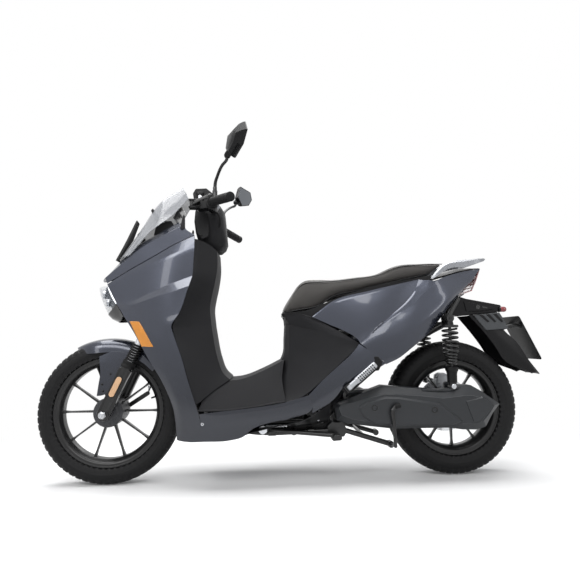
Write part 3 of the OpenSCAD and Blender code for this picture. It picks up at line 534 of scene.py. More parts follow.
panel("headlight_lens_skin", whole(LENS_ROWS), GLASS, replaces=["headlight_lens"],
      outward=(-1, 0, 0), wall=2.2, bevel=0.4, steps=6)
panel("headlight_chin", whole(CHIN_ROWS), GLOSS, outward=(-1, 0, -0.4),
      wall=2.5, bevel=0.6, steps=5, sharp_rows=(1,))
back_rows = [[(x + 24, 0.86 * y, z) for x, y, z in row] for row in whole(LENS_ROWS)]
panel("headlight_bowl", back_rows, GLOSS, replaces=["headlight_housing"],
      outward=(-1, 0, 0), wall=2.0, bevel=0.4, steps=5)
units = Shape()
rims = Shape()
for row_z, row_x, half in ((756, -26, 15), (722, -10, 14)):
    for y in (-24, 24):
        rims.lathe([(0, half + 3), (9, half + 3), (10, half + 2), (10, half), (1, half - 1), (1, 0)],
                   (row_x, y, row_z), (-1, 0, 0.15))
        units.lathe([(2, half - 1.5), (5, half - 3), (8, 0.6 * half), (9.5, 0.25 * half), (10, 0)],
                    (row_x, y, row_z), (-1, 0, 0.15))
rims.build("headlight_rings", STEEL, bevel=0.3)
units.build("headlight_units", LED)
for side, word in SIDES:
    Shape().tube([(-8, -58, 782), (2, -62, 760), (20, -72, 730), (30, -77, 715)],
                 [3.6, 3.2, 3.0, 2.2], 10, 4).build(
        f"daylight_strip_{word}", LED, side=side)

SIGNAL_ROWS = [
    [(97, -126, 641), (117, -132, 641), (137, -139, 639)],
    [(124, -138, 592), (146, -148, 592), (168, -158, 591)],
    [(150, -146, 543), (174, -157, 542), (199, -166, 541)]]
for side, word in SIDES:
    panel(f"front_signal_{word}", SIGNAL_ROWS, AMBER,
          replaces=["turn_signals_front"], side=side, wall=5, bevel=1.2, steps=4)

# Windscreen, its small deflector, and the ears that hold it.
SCREEN_ROWS = [
    [(80, -84, 912), (44, -58, 906), (26, -30, 902), (20, 0, 900)],
    [(160, -96, 1004), (122, -66, 1008), (104, -38, 1014), (98, 0, 1016)],
    [(256, -84, 1084), (214, -62, 1122), (196, -40, 1148), (190, 0, 1154)],
    [(309, -58, 1158), (294, -48, 1186), (283, -30, 1212), (278, 0, 1216)]]
panel("windscreen_pane", whole(SCREEN_ROWS), SMOKE, replaces=["windscreen"],
      outward=(-1, 0, 0.5), wall=3, bevel=0.9, steps=7)
DEFLECTOR_ROWS = [
    [(10, -34, 898), (2, 0, 902)],
    [(46, -38, 966), (38, 0, 972)],
    [(88, -26, 1068), (84, 0, 1076)]]
panel("screen_deflector", whole(DEFLECTOR_ROWS), DARK,
      outward=(-1, 0, 0.4), wall=2.4, bevel=0.6, steps=6)
screen_mount = Shape()
for y in (-30, 30):
    screen_mount.tube([(70, y, 940), (112, y, 1002)], 5, 10)
    screen_mount.bolt((101, y, 1008), (-0.8, 0, 0.6), 7)
screen_mount.prism([(166, 1002), (188, 1006), (246, 1046), (238, 1062), (196, 1062), (160, 1116),
                    (152, 1108), (176, 1050)], -46, 46)
screen_mount.build("screen_bracket", DARK, bevel=1.6)
for side, word in SIDES:
    Shape().prism([(288, 1009), (302, 1005), (308, 1012), (307, 1060), (302, 1068), (296, 1050)],
                  -134, -126).build(f"dash_ear_{word}", DARK, side=side, bevel=1.5)
dash = Shape()
dash.grid(smooth_rows([
    [(276, -116, 1020), (270, -60, 1052), (266, 0, 1058), (270, 60, 1052), (276, 116, 1020)],
    [(300, -132, 1004), (288, -66, 1042), (284, 0, 1048), (288, 66, 1042), (300, 132, 1004)],
    [(346, -156, 978), (302, -96, 1016), (294, 0, 1034), (302, 96, 1016), (346, 156, 978)]], 6))
dash.build("dash_cover", BLACK, solid=2.5, outward=(0, 0, 1), bevel=0.8)
DISPLAY_PLACE, DISPLAY_TILT = (244, 0, 1072), math.radians(25)
Shape().slab((0, -54, 0), (16, 54, 60)).moved(DISPLAY_PLACE, DISPLAY_TILT).build(
    "display_block", GLOSS, bevel=3, replaces=["display"])

# ---- inner covers ----
SHIELD_ROWS = [
    [(352, -162, 962), (364, -154, 960), (404, -112, 948), (432, -84, 926), (436, 0, 922)],
    [(351, -176, 886), (364, -168, 886), (408, -116, 876), (434, -94, 863), (438, 0, 860)],
    [(347, -190, 809), (358, -182, 808), (400, -128, 800), (424, -104, 790), (428, 0, 788)],
    [(334, -194, 768), (346, -184, 766), (388, -130, 758), (415, -106, 748), (420, 0, 746)],
    [(308, -194, 704), (320, -184, 702), (372, -132, 702), (407, -108, 700), (412, 0, 700)],
    [(274, -187, 617), (288, -178, 617), (360, -136, 620), (413, -110, 623), (418, 0, 624)],
    [(281, -186, 585), (294, -178, 585), (366, -138, 582), (420, -112, 580), (425, 0, 580)],
    [(312, -192, 498), (324, -184, 498), (388, -142, 490), (440, -114, 486), (445, 0, 486)],
    [(336, -196, 420), (346, -188, 419), (408, -146, 424), (461, -116, 434), (466, 0, 436)],
    [(362, -198, 330), (372, -190, 328), (428, -152, 372), (486, -118, 410), (492, 0, 412)]]
panel("leg_shield_skin", whole(SHIELD_ROWS), BLACK, replaces=["leg_shield"],
      outward=(1, 0, 0), wall=3, steps=5, sharp_rows=(3, 5), sharp_cols=(1, 3, 5, 7), bevel=0.9, angle=20)
FLOOR_ROWS = [
    [(362, -198, 304), (374, -187, 306), (402, -152, 368), (440, -118, 404), (440, 0, 406)],
    [(470, -197, 302), (474, -186, 306), (496, -140, 372), (530, -110, 410), (530, 0, 413)],
    [(562, -198, 311), (564, -187, 315), (584, -138, 396), (627, -104, 446), (627, 0, 449)],
    [(700, -199, 331), (700, -188, 335), (690, -136, 414), (700, -102, 482), (702, 0, 484)]]
panel("floor_cover_skin", whole(FLOOR_ROWS), BLACK, replaces=["floor_cover"],
      outward=(0, 0, 1), wall=3, steps=6, sharp_cols=(1, 3, 5, 7), bevel=0.9, angle=20)
# Below the seat: a lighter facet over the long black triangle that ends in a rounded corner.
FACET_ROWS = [
    [(706, -60, 664), (712, -98, 660), (760, -136, 664), (806, -160, 648)],
    [(708, -62, 640), (716, -102, 634), (806, -158, 634), (900, -172, 600)],
    [(710, -64, 620), (724, -106, 622), (846, -168, 590), (984, -186, 548)]]
POST_ROWS = [
    [(710, -64, 620), (724, -106, 622), (846, -168, 590), (984, -186, 548)],
    [(707, -66, 570), (722, -108, 572), (850, -168, 556), (992, -186, 536)],
    [(704, -66, 507), (720, -110, 507), (846, -170, 505), (962, -190, 512)],
    [(692, -66, 478), (716, -112, 470), (814, -172, 448), (900, -193, 458)],
    [(690, -66, 470), (704, -122, 410), (776, -176, 392), (846, -196, 412)],
    [(660, -64, 462), (672, -128, 360), (726, -182, 344), (786, -198, 362)],
    [(640, -64, 450), (648, -132, 342), (690, -186, 326), (744, -199, 336)]]
for side, word in SIDES:
    panel(f"seat_front_facet_{word}", FACET_ROWS, BLACK, side=side,
          wall=3, steps=6, bevel=0.9, outward=(-0.5, -1, 0.3), sharp_cols=(1,), angle=20)
    panel(f"seat_front_panel_{word}", POST_ROWS, BLACK, side=side,
          wall=3, steps=6, bevel=0.9, outward=(-0.5, -1, 0.3), sharp_cols=(1,), sharp_rows=(0,), angle=20)
Shape().grid(smooth_rows([[(x, y, z) for y in (-66, 0, 66)] for x, z in (
    (706, 664), (709, 640), (711, 620), (707, 570), (703, 507), (691, 477))], 4)).build(
    "seat_front_middle", BLACK, solid=3, outward=(-1, 0, 0), bevel=0.5,
    replaces=["seat_front_cover"])

SKIRT_ROWS = [
    [(700, -96, 668), (800, -128, 680), (894, -146, 718), (1040, -148, 764), (1252, -128, 808),
     (1310, -116, 820)],
    [(716, -96, 630), (806, -132, 636), (894, -150, 672), (1040, -152, 716), (1252, -128, 756),
     (1310, -112, 770)]]
for side, word in SIDES:
    panel(f"seat_skirt_{word}", SKIRT_ROWS, DARK, side=side, wall=2.5, steps=5,
          bevel=0.5)

# ---- sills ----
SILL_ROWS = [
    [(376, -201, 291), (440, -203, 298), (562, -205, 309), (700, -206, 329), (786, -205, 353)],
    [(380, -200, 286), (442, -204, 291), (562, -206, 302), (700, -207, 321), (790, -206, 344)],
    [(388, -192, 236), (450, -198, 240), (560, -203, 262), (700, -204, 282), (800, -203, 308)],
    [(400, -183, 188), (480, -186, 190), (540, -189, 204), (590, -192, 248), (700, -196, 263)],
]
SILL_BACK = [
    [(786, -205, 353), (846, -203, 412), (900, -202, 458), (962, -198, 512), (988, -190, 543)],
    [(790, -206, 344), (856, -205, 398), (916, -204, 444), (980, -200, 498), (1006, -193, 530)],
    [(800, -203, 308), (900, -205, 386), (960, -204, 424), (1030, -200, 470), (1056, -195, 496)],
    [(800, -196, 285), (880, -198, 333), (931, -199, 390), (1051, -193, 444), (1090, -188, 466)]]
for side, word in SIDES:
    panel(f"sill_skin_{word}", SILL_ROWS, PAINT, replaces=["sill_panels"], side=side,
          wall=3, steps=6, bevel=0.9, sharp_rows=(1,), angle=18)
    panel(f"sill_rear_{word}", SILL_BACK, PAINT, side=side, wall=3, steps=6,
          bevel=0.9, sharp_rows=(1,), angle=18)
    Shape().bolt((390, -193, 255), (0, -1, 0), 7).build(
        f"sill_screw_{word}", STEEL, side=side, bevel=0.3)

# ---- side panels ----
# The upper panel lies flat under the seat, and the lower body swells out below a bright wedge.
UPPER_ROWS = [
    [(811, -163, 652), (894, -160, 712), (1040, -156, 752), (1180, -146, 784), (1252, -134, 800)],
    [(812, -166, 649), (892, -164, 702), (1036, -160, 742), (1176, -150, 774), (1253, -134, 795)],
    [(870, -168, 622), (930, -170, 660), (1040, -168, 700), (1160, -156, 740), (1233, -140, 758)],
    [(940, -176, 590), (980, -177, 620), (1046, -175, 652), (1136, -164, 690), (1194, -152, 712)],
    [(984, -183, 560), (1002, -183, 576), (1030, -182, 592), (1084, -176, 628), (1136, -166, 664)],
    [(992, -187, 546), (1004, -187, 556), (1020, -186, 566), (1040, -184, 584), (1054, -181, 600)]]
WEDGE_ROWS = [
    [(1252, -134, 800), (1268, -136, 797), (1296, -140, 796), (1322, -140, 792)],
    [(1233, -140, 758), (1240, -144, 756), (1258, -150, 750), (1270, -154, 746)],
    [(1194, -152, 712), (1198, -156, 710), (1206, -162, 702), (1212, -166, 696)],
    [(1136, -166, 664), (1138, -168, 662), (1142, -172, 657), (1146, -174, 652)],
    [(1054, -181, 600), (1056, -182, 599), (1058, -183, 598), (1060, -184, 597)]]
LOWER_ROWS = [
    [(992, -187, 546), (1060, -184, 597), (1146, -174, 652), (1212, -166, 696), (1270, -154, 746),
     (1322, -140, 792), (1400, -108, 823), (1501, -76, 846), (1546, -64, 853)],
    [(1006, -192, 534), (1066, -192, 566), (1150, -184, 612), (1220, -176, 654), (1290, -160, 706),
     (1340, -146, 748), (1420, -112, 790), (1486, -86, 812), (1524, -72, 830)],
    [(1024, -194, 516), (1080, -195, 538), (1160, -190, 574), (1240, -178, 618), (1310, -162, 664),
     (1366, -144, 700), (1430, -110, 748), (1470, -90, 776), (1502, -78, 800)],
    [(1046, -193, 492), (1100, -192, 514), (1170, -186, 548), (1250, -170, 600), (1320, -152, 646),
     (1372, -132, 690), (1424, -106, 734), (1456, -88, 762), (1482, -78, 780)],
    [(1080, -190, 476), (1130, -188, 492), (1190, -180, 530), (1262, -162, 586), (1326, -142, 636),
     (1374, -122, 682), (1414, -102, 722), (1440, -88, 748), (1464, -78, 766)],
    [(1091, -186, 463), (1140, -184, 484), (1196, -176, 522), (1267, -156, 574), (1334, -134, 640),
     (1380, -112, 690), (1412, -96, 726), (1436, -84, 746), (1462, -76, 752)]]
for side, word in SIDES:
    panel(f"side_panel_upper_{word}", UPPER_ROWS, PAINT,
          replaces=[f"side_panel_{word}"], side=side, wall=3, steps=7, bevel=0.8, sharp_rows=(1,), angle=18)
    panel(f"side_panel_wedge_{word}", WEDGE_ROWS, PAINT, side=side, wall=3,
          steps=6, bevel=0.6, outward=(0, -0.5, 1))
    panel(f"side_panel_lower_{word}", LOWER_ROWS, PAINT, side=side, wall=3,
          steps=7, bevel=0.8)


# ---- wheels ----
def turned(profile, centre, segments, wave=None):
    """A closed ring turned from (radius, y) points about a wheel's axis; wave changes each point."""
    rings = []
    for k, angle in enumerate(turns(segments)):
        ring = []
        for i, (r, y) in enumerate(profile):
            if wave:
                r, y = wave(k, i, r, y)
            ring.append(at(centre[0] + r * math.cos(angle), y, centre[1] + r * math.sin(angle)))
        rings.append(ring)
    return rings


def ring_piece(name, profile, centre, segments, material, body, wave=None, **more):
    shape = Shape()
    rings = turned(profile, centre, segments, wave)
    count = len(profile)
    points = [p for ring in rings for p in ring]
    faces = []
    for i in range(segments):
        for j in range(count):
            a, b = i * count + j, i * count + (j + 1) % count
            ahead = ((i + 1) % segments - i) * count
            faces.append((a, b, b + ahead, a + ahead))
    shape.add(points, faces)
    return shape.build(name, material, body, **more)


def tyre_profile(r, w, edge_r):
    """Outer side of a tyre from one bead to the other, with steps for the embossed rings."""
    half = [(r, 0), (r - 0.1, 0.05 * w), (r - 0.3, 0.1 * w), (r - 0.7, 0.15 * w), (r - 1.4, 0.2 * w),
            (r - 0.025 * w, 0.26 * w), (r - 0.05 * w, 0.315 * w), (r - 0.09 * w, 0.37 * w),
            (r - 0.14 * w, 0.415 * w), (r - 0.2 * w, 0.45 * w), (r - 0.215 * w, 0.447 * w),
            (r - 0.27 * w, 0.472 * w), (r - 0.35 * w, 0.49 * w), (r - 0.43 * w, 0.49 * w),
            (r - 0.445 * w, 0.482 * w), (r - 0.5 * w, 0.47 * w), (edge_r + 5, 0.42 * w),
            (edge_r + 3.5, 0.395 * w), (edge_r + 2, 0.35 * w), (edge_r + 1, 0.318 * w)]
    inner = [(edge_r - 6, 0.31 * w), (edge_r - 6, 0.22 * w)]
    right = half + inner
    return right + [(a, -b) for a, b in reversed(right[1:])]


def tread(w, deep, pitch):
    """Slanted grooves across the crown, cut as steps in the turned surface."""
    def wave(k, i, r, y):
        share = abs(y) / (0.5 * w)
        if share > 0.93 or i == 0:
            return (r, y)
        lean = 2.6 * share if y > 0 else 2.6 * share + 0.5 * pitch
        phase = (k + lean) % pitch
        if 0.16 < share and phase < 0.27 * pitch:
            return (r - deep, y)
        if abs(share - 0.2) < 0.04:
            return (r - 0.8 * deep, y)
        return (r, y)
    return wave


SPOKE_SECTION = ((1, 0.5), (0.55, 1), (-0.55, 1), (-1, 0.5), (-1, -0.5), (-0.55, -1), (0.55, -1),
                 (1, -0.5))


def make_wheel(word, body, centre, tyre_r, tyre_w, rim_r, flange, hub_r, hub_w, first):
    """Tyre, rim with a bright line, ten spokes from the first angle on, hub and valve."""
    edge = rim_r + flange
    profile = tyre_profile(tyre_r, tyre_w, edge)
    ring_piece(f"{word}_tyre_skin", profile, centre, 480, TYRE, body,
               wave=tread(tyre_w, 3, 8), replaces=[f"{word}_tyre"], angle=28)
    bead = 0.32 * tyre_w + 1
    lip = bead + 4
    rim_half = [(edge, bead + 1.2), (edge, lip - 0.8), (edge - 0.8, lip), (edge - 5, lip),
                (edge - 6.5, lip - 1.2), (rim_r + 1, lip - 1.6), (rim_r - 4, lip - 4),
                (rim_r - 9, lip - 9), (rim_r - 14, lip - 17), (rim_r - 18, 16), (rim_r - 19, 0)]
    loop = ([(edge, bead + 1.2)] + rim_half[1:] + [(a, -b) for a, b in reversed(rim_half[:-1])]
            + [(rim_r + 1, -bead), (rim_r, 12 - bead), (rim_r - 9, 16 - bead), (rim_r - 10, 0),
               (rim_r - 9, bead - 16), (rim_r, bead - 12), (rim_r + 1, bead)])
    ring_piece(f"{word}_rim", loop, centre, 128, SATIN, body, slot="rim_black",
               replaces=[f"{word}_wheel"], angle=30, bevel=0.4)
    ring_piece(f"{word}_rim_line", [(rim_r + 2.5, lip - 0.4), (rim_r + 3.4, lip + 0.2),
                                    (rim_r + 4.4, lip - 0.4)], centre, 128, ALLOY, body)
    spokes = Shape()
    for k in range(10):
        angle = math.radians(first + 36 * k)
        rows = []
        for r, half_y, half_t in ((hub_r - 6, 15, 6.2), (hub_r + 12, 13, 4.6),
                                  (0.6 * (hub_r + rim_r), 11, 3.4),
                                  (rim_r - 34, 12, 4.0), (rim_r - 14, 15, 6.4)):
            rows.append([at(centre[0] + math.cos(angle) * r - math.sin(angle) * half_t * b, half_y * a,
                            centre[1] + math.sin(angle) * r + math.cos(angle) * half_t * b)
                         for a, b in SPOKE_SECTION])
        spokes.rings(rows)
    spokes.build(f"{word}_spokes", SATIN, body, bevel=0.6, slot="rim_black", angle=30)
    hub = Shape()
    half = 0.5 * hub_w
    hub.lathe([(-half, 9), (-half, 0.62 * hub_r), (-half + 3, 0.7 * hub_r), (-half + 5, 0.74 * hub_r),
               (-half + 5, 0.93 * hub_r), (-half + 8, hub_r), (half - 8, hub_r),
               (half - 5, 0.93 * hub_r), (half - 5, 0.74 * hub_r), (half - 3, 0.7 * hub_r),
               (half, 0.62 * hub_r), (half, 9)], (centre[0], 0, centre[1]), (0, 1, 0), 64)
    hub.build(f"{word}_hub", HUB, body, bevel=0.5, angle=26)
    valve = [(centre[0] + r * math.cos(0.3), y, centre[1] + r * math.sin(0.3))
             for r, y in ((rim_r - 14, 0), (rim_r - 36, -8))]
    Shape().tube(valve, [4.2, 3.2], 10).build(f"{word}_valve", RUBBER, body)


make_wheel("front", "wheel_front", FRONT_AXLE, 283, 100, 203, 13, 58, 106, 0)
make_wheel("rear", "wheel_rear", REAR_AXLE, 274, 120, 178, 16, 50, 90, 18)
Shape().lathe([(-84, 11), (-84, 70), (-83, 72), (-65, 72), (-64, 70), (-64, 42), (-50, 40), (-46, 40),
               (-46, 11)], (REAR_AXLE[0], 0, REAR_AXLE[1]), (0, 1, 0), 72).build(
    "rear_pulley", ALLOY, "wheel_rear", bevel=0.5, angle=26)


# ---- front fork and fender ----
RAKE = math.radians(25)
FORK_AXIS = (math.sin(RAKE), 0, math.cos(RAKE))
FORK_Y = -92


def fork_line(along, ahead=0.0, y=0.0):
    """A point on the left fork leg, so far above the axle along it and ahead of its middle."""
    x = along * math.sin(RAKE) - ahead * math.cos(RAKE)
    z = FRONT_AXLE[1] + along * math.cos(RAKE) + ahead * math.sin(RAKE)
    return (x, y, z)


def capsule(radius):
    """Outline of the side reflector on the fork leg: two half circles 60 mm apart."""
    return [fork_line(116 + 30 * (1 if math.sin(a) > 0 else -1) + radius * math.sin(a),
                      3 + radius * math.cos(a))[::2] for a in turns(24)]


def fender_ring(angle_deg, tip):
    """One cross-section of the fender; tip narrows it towards its pointed nose."""
    angle = math.radians(angle_deg)
    half = [(294, 0), (293.5, 16), (291, 30), (286, 44), (279, 53), (268, 60.5), (258, 64), (246, 66.5),
            (238, 68)]
    out = []
    for r, y in half:
        y = y * tip
        r = 294 - (294 - r) * (0.25 + 0.75 * tip)
        out.append((-r * math.cos(angle), -y, FRONT_AXLE[1] + r * math.sin(angle)))
    return out


FENDER_STEPS = ((61, 0.12), (63, 0.34), (66, 0.56), (70, 0.76), (75, 0.9), (81, 0.97), (87, 1.0), (94, 1.0),
                (104, 1.0), (115, 1.0), (126, 1.0), (137.5, 1.0))
fender_rows = []
for angle_deg, tip in FENDER_STEPS:
    left_half = fender_ring(angle_deg, tip)
    fender_rows.append(list(reversed(left_half)) + [(x, -y, z) for x, y, z in left_half[1:]])
panel("fender_skin", fender_rows, PAINT, "fork_lower", replaces=["front_fender"],
      outward=(0, 0, 1), wall=2.6, steps=3, bevel=0.7, sharp_cols=(3, 13), angle=26)
FIN_ROWS = [
    [(-34, -66, 505), (6, -68, 521), (50, -69, 523), (84, -69, 512)],
    [(-30, -70, 478), (4, -72, 489), (44, -73, 491), (76, -72, 488)],
    [(-27, -70.5, 442), (2, -72.5, 444), (30, -73.5, 446), (58, -72, 452)],
    [(-33, -70.5, 392), (-10, -72, 394), (10, -73, 398), (30, -72, 404)],
    [(-38, -70, 351), (-24, -71, 352), (-10, -71, 355), (2, -70.5, 361)]]
for side, word in SIDES:
    panel(f"fender_fin_{word}", FIN_ROWS, PAINT, "fork_lower", side=side, wall=3, steps=5,
          bevel=0.7, sharp_rows=(1,), angle=20)
    fork = Shape()
    fork.lathe([(196, 25), (199, 26.5), (204, 26.5), (206, 25), (214, 25), (216, 26), (222, 26),
                (224, 24), (224, 17)], fork_line(0, 0, FORK_Y), FORK_AXIS, 40)
    for k in range(7):
        low = 226 + 10 * k
        fork.lathe([(low, 19), (low + 2, 23), (low + 6, 23), (low + 8.5, 19)],
                   fork_line(0, 0, FORK_Y), FORK_AXIS, 32)
    fork.build(f"fork_collar_{word}", RUBBER, "fork_lower", side=side, angle=40)
    lug = Shape()
    foot = [fork_line(s, a)[::2] for s, a in ((-24, -12), (-10, -24), (30, -25), (70, -22), (150, -21.5),
                                              (190, -24), (196, 0), (190, 26), (150, 25), (90, 24), (40, 27),
                                              (0, 27), (-22, 14))]
    lug.prism(foot, -107, -79)
    lug.build(f"fork_casting_{word}", SATIN, "fork_lower", side=side, bevel=5, segments=4)
    nut = Shape().lathe([(0, 15), (3, 15), (3.5, 12.5), (10, 12.5), (11.5, 11), (11.5, 6), (9, 5.5), (9, 0)],
                        (FRONT_AXLE[0], -116, FRONT_AXLE[1]), (0, -1, 0), 6)
    nut.build(f"front_nut_{word}", STEEL, "fork_lower", side=side, bevel=0.5)
    Shape().prism(capsule(11), -118.5, -111).build(f"fork_reflector_{word}", REFLECTOR, "fork_lower",
                                               side=side, bevel=1.6, segments=3)
    Shape().prism(capsule(14), -115.5, -106).build(
        f"reflector_base_{word}", DARK, "fork_lower", side=side, bevel=1.2)
    screws = Shape()
    for x, z in ((-18, 396), (-14, 370), (14, 436)):
        screws.bolt((x, -73.4, z), (0, -1, 0), 4.2)
    screws.build(f"fin_screws_{word}", SATIN, "fork_lower", side=side, bevel=0.2)

# Brake cable from the hub's arm up behind the right fork leg, with its adjuster.
Shape().tube([(122, 96, 341), (136, 97, 380), (140, 96, 450), (150, 92, 540), (176, 70, 620)],
             3.2, 10, 8).build(
    "front_brake_cable", RUBBER, "fork_lower")
Shape().lathe([(0, 5), (10, 5), (11, 3.4), (26, 3.4), (27, 6), (34, 6), (35, 3)], (123, 96, 338),
              (0.15, 0, 1), 12).build("cable_adjuster", STEEL, "fork_lower", bevel=0.3)

# Black liner behind the front panels, above and behind the wheel.
liner_rows = []
for k in range(9):
    angle = math.radians(-8 + 10.5 * k)
    x, z = 352 * math.cos(angle), FRONT_AXLE[1] + 60 + 352 * math.sin(angle)
    half = 70 - 2 * k
    liner_rows.append([(x + 8, -half, z - 12), (x, -0.7 * half, z), (x - 2, 0, z + 4), (x, 0.7 * half, z),
                       (x + 8, half, z - 12)])
panel("front_liner", liner_rows, DARK, outward=(-1, 0, -0.6), wall=2.5, steps=3,
      bevel=0.5)

# ---- handlebar ----
GRIP_IN, GRIP_OUT = Vector((420, -220, 1093)), Vector((501, -356, 1072))
MIRROR_PIVOT = (488, -300, 1248)
GRIP_AXIS = (GRIP_OUT - GRIP_IN).normalized()
GRIP_LONG = (GRIP_OUT - GRIP_IN).length
COVER_LEVELS = [
    (935, 404, 446, 52), (950, 378, 462, 72), (972, 349, 470, 83), (1015, 337, 466, 92), (1060, 331, 462, 95),
    (1100, 334, 458, 92), (1118, 340, 448, 84), (1130, 353, 432, 68)]
cover_rings = []
for z, front, back, half in COVER_LEVELS:
    cover_rings.append([at(0.5 * (front + back) - 0.5 * (back - front) * c, half * s, z)
                        for c, s in (squared(angle, 0.55) for angle in turns(28))])
Shape().rings(cover_rings).build("bar_cover_skin", BLACK, "steering", bevel=2, angle=30,
                                 replaces=["bar_cover"], segments=3)
Shape().prism([(372, 1128), (436, 1128), (444, 1120), (452, 1096), (446, 1092), (436, 1112), (366, 1114)],
              -62, 62).build("bar_cover_cap", DARK, "steering", bevel=2.5)
for side, word in SIDES:
    trim = Shape().prism([(352, 1092), (372, 1100), (392, 1080), (400, 1010), (396, 985), (372, 975),
                          (352, 1000), (346, 1050)], -99, -93)
    trim.bolt((368, -99, 990), (0, -1, 0), 5.5)
    trim.build(f"bar_cover_side_{word}", DARK, "steering", side=side, bevel=1.8)


def grip(name, side, body, node_name):
    """A ribbed rubber grip with a flange and an end weight."""
    ribs = [(10, 14.5), (11, 22), (15.5, 22), (17, 18.2)]
    for k in range(17):
        low = 20 + 7 * k
        ribs += [(low, 17), (low + 1.2, 17.8), (low + 4.6, 17.8), (low + 5.8, 17)]
    ribs += [(GRIP_LONG + 1, 17.8), (GRIP_LONG + 4, 17.8), (GRIP_LONG + 5.6, 14), (GRIP_LONG + 5.9, 6)]
    return Shape().lathe(ribs, GRIP_IN, GRIP_AXIS, 36).build(
        name, RUBBER, body, side=side, replaces=[node_name], angle=40)


grip("grip_skin_left", LEFT, "steering", "grip_left")
grip("grip_skin_right", RIGHT, "throttle", "throttle_grip")
for side, word in SIDES:
    housing = Shape()
    housing.lathe([(-33, 18), (-31, 22.5), (-4, 23), (26, 23), (30, 21), (31, 17)], (420, -166, 1093),
                  (0, -1, 0), 36)
    housing.prism([(352, 1099), (364, 1107), (410, 1106), (422, 1094), (408, 1078), (366, 1072), (352, 1082)],
                  -194, -148)
    housing.prism([(334, 1106), (372, 1106), (376, 1096), (334, 1098.5)], -222, -184)
    housing.prism([(334, 1070), (374, 1070), (376, 1080), (334, 1077.5)], -222, -184)
    housing.build(f"control_housing_{word}", DARK, "steering", side=side, bevel=2.2, segments=3,
                  replaces=["control_housings"] if side == LEFT else (), angle=28)
    tank = Shape()
    tank.lathe([(0, 22), (2, 23), (30, 23), (31, 24.5), (40, 24.5), (42, 23), (42.5, 0)], (374, -168, 1101),
               (0, 0, 1), 40)
    tank.build(f"brake_reservoir_{word}", DARK, "steering", side=side, bevel=0.8)
    lid = Shape()
    for x, y in ((362, -180), (386, -156)):
        lid.bolt((x, y, 1143.4), (0, 0, 1), 3.6)
    lid.bolt((356, -204, 1106), (0, 0, 1), 5)
    lid.lathe([(0, 7), (1.5, 7), (1.5, 5.6), (0.8, 5.4), (0.8, 0)], (374, -191.4, 1122), (0, -1, 0), 20)
    lid.build(f"reservoir_screws_{word}", STEEL, "steering", side=side, bevel=0.2)
    switches = Shape()
    switches.prism([(432, 1098), (446, 1100), (446, 1108), (430, 1108)], -182, -168)
    switches.prism([(440, 1080), (450, 1082), (450, 1088), (440, 1088)], -184, -166)
    switches.build(f"switches_{word}", BUTTON_GREY, "steering", side=side, bevel=1)
    blade = Shape()
    lever_path = [(346, -212, 1088), (356, -226, 1088), (378, -262, 1087), (402, -304, 1083),
                  (420, -338, 1078),
                  (430, -352, 1076)]
    line = spline([at(*p) for p in lever_path], 5)
    rings = []
    for i, point in enumerate(line):
        ahead = (line[min(i + 1, len(line) - 1)] - line[max(i - 1, 0)]).normalized()
        out = ahead.cross(Vector((0, 0, 1))).normalized()
        share = i / (len(line) - 1)
        wide, thick = (8.2 - 2.6 * share) * MM, (4.2 - 0.6 * share) * MM
        rings.append([point + wide * math.cos(a) * Vector((0, 0, 1)) + thick * math.sin(a) * out
                      for a in turns(14)])
    blade.rings(rings)
    blade.lathe([(-9.5, 8), (-9, 9), (9, 9), (9.5, 8)], (346, -212, 1088), (0, 0, 1), 24)
    blade.lathe([(-7.4, 2), (-5, 6.4), (0, 8), (5, 6.4), (7.4, 2)], (430, -352, 1076), (0.3, -0.5, 0), 20)
    blade.build(f"lever_blade_{word}", SATIN, f"lever_{word}", side=side, bevel=0.4, slot="alloy",
                replaces=[f"brake_lever_{word}"], angle=30)
    hose = Shape().tube([(360, -150, 1104), (352, -118, 1116), (352, -92, 1104), (362, -80, 1066),
                         (384, -70, 1010)], 4, 10, 8)
    hose.build(f"brake_hose_{word}", RUBBER, "steering", side=side)
    wires = Shape().tube([(430, -140, 1082), (440, -112, 1070), (444, -92, 1040), (430, -74, 1000)],
                         3.4, 8, 8)
    wires.build(f"switch_wires_{word}", RUBBER, "steering", side=side)
    stalk = Shape()
    stalk.lathe([(-10, 9), (-9, 10), (20, 10), (24, 8), (34, 8), (36, 6.6), (40, 6)], (434, -214, 1118),
                (0, 0, 1), 24)
    stalk.tube([(434, -214, 1150), (436, -219, 1170), (446, -240, 1190), (468, -280, 1218),
                (485, -298, 1232), (488, -300, 1247)], [7, 6.6, 6, 6, 6, 6], 16, 6)
    stalk.tube([(434, -190, 1108), (434, -212, 1108)], 9.5, 20)
    stalk.lathe([(-9, 4), (-6, 7), (0, 9.3), (6, 7), (9, 4)], MIRROR_PIVOT, (0, 0, 1), 20)
    stalk.build(f"mirror_stalk_{word}", SATIN, "steering", side=side, angle=30,
                replaces=["mirror_stalks"] if side == LEFT else ())

hood = Shape().prism([(350, 1010), (338, 1056), (338, 1132), (352, 1150), (392, 1152), (410, 1126),
                      (406, 1004)],
                     -50, 50)
for side_y in (-163, 163):
    hood.prism([(352, 1096), (345, 1138), (356, 1157), (398, 1159), (421, 1140), (424, 1102)],
               side_y - 23, side_y + 23)
hood.build("bar_hood", DARK, "steering", bevel=3, segments=3)
MIRROR_OUTLINE = [(-74, -17), (-30, -52), (47, -28), (84, 12), (66, 48), (-45, 46)]
MIRROR_MIDDLE = (521, -345, 1283)
MIRROR_TURN = math.radians(25)


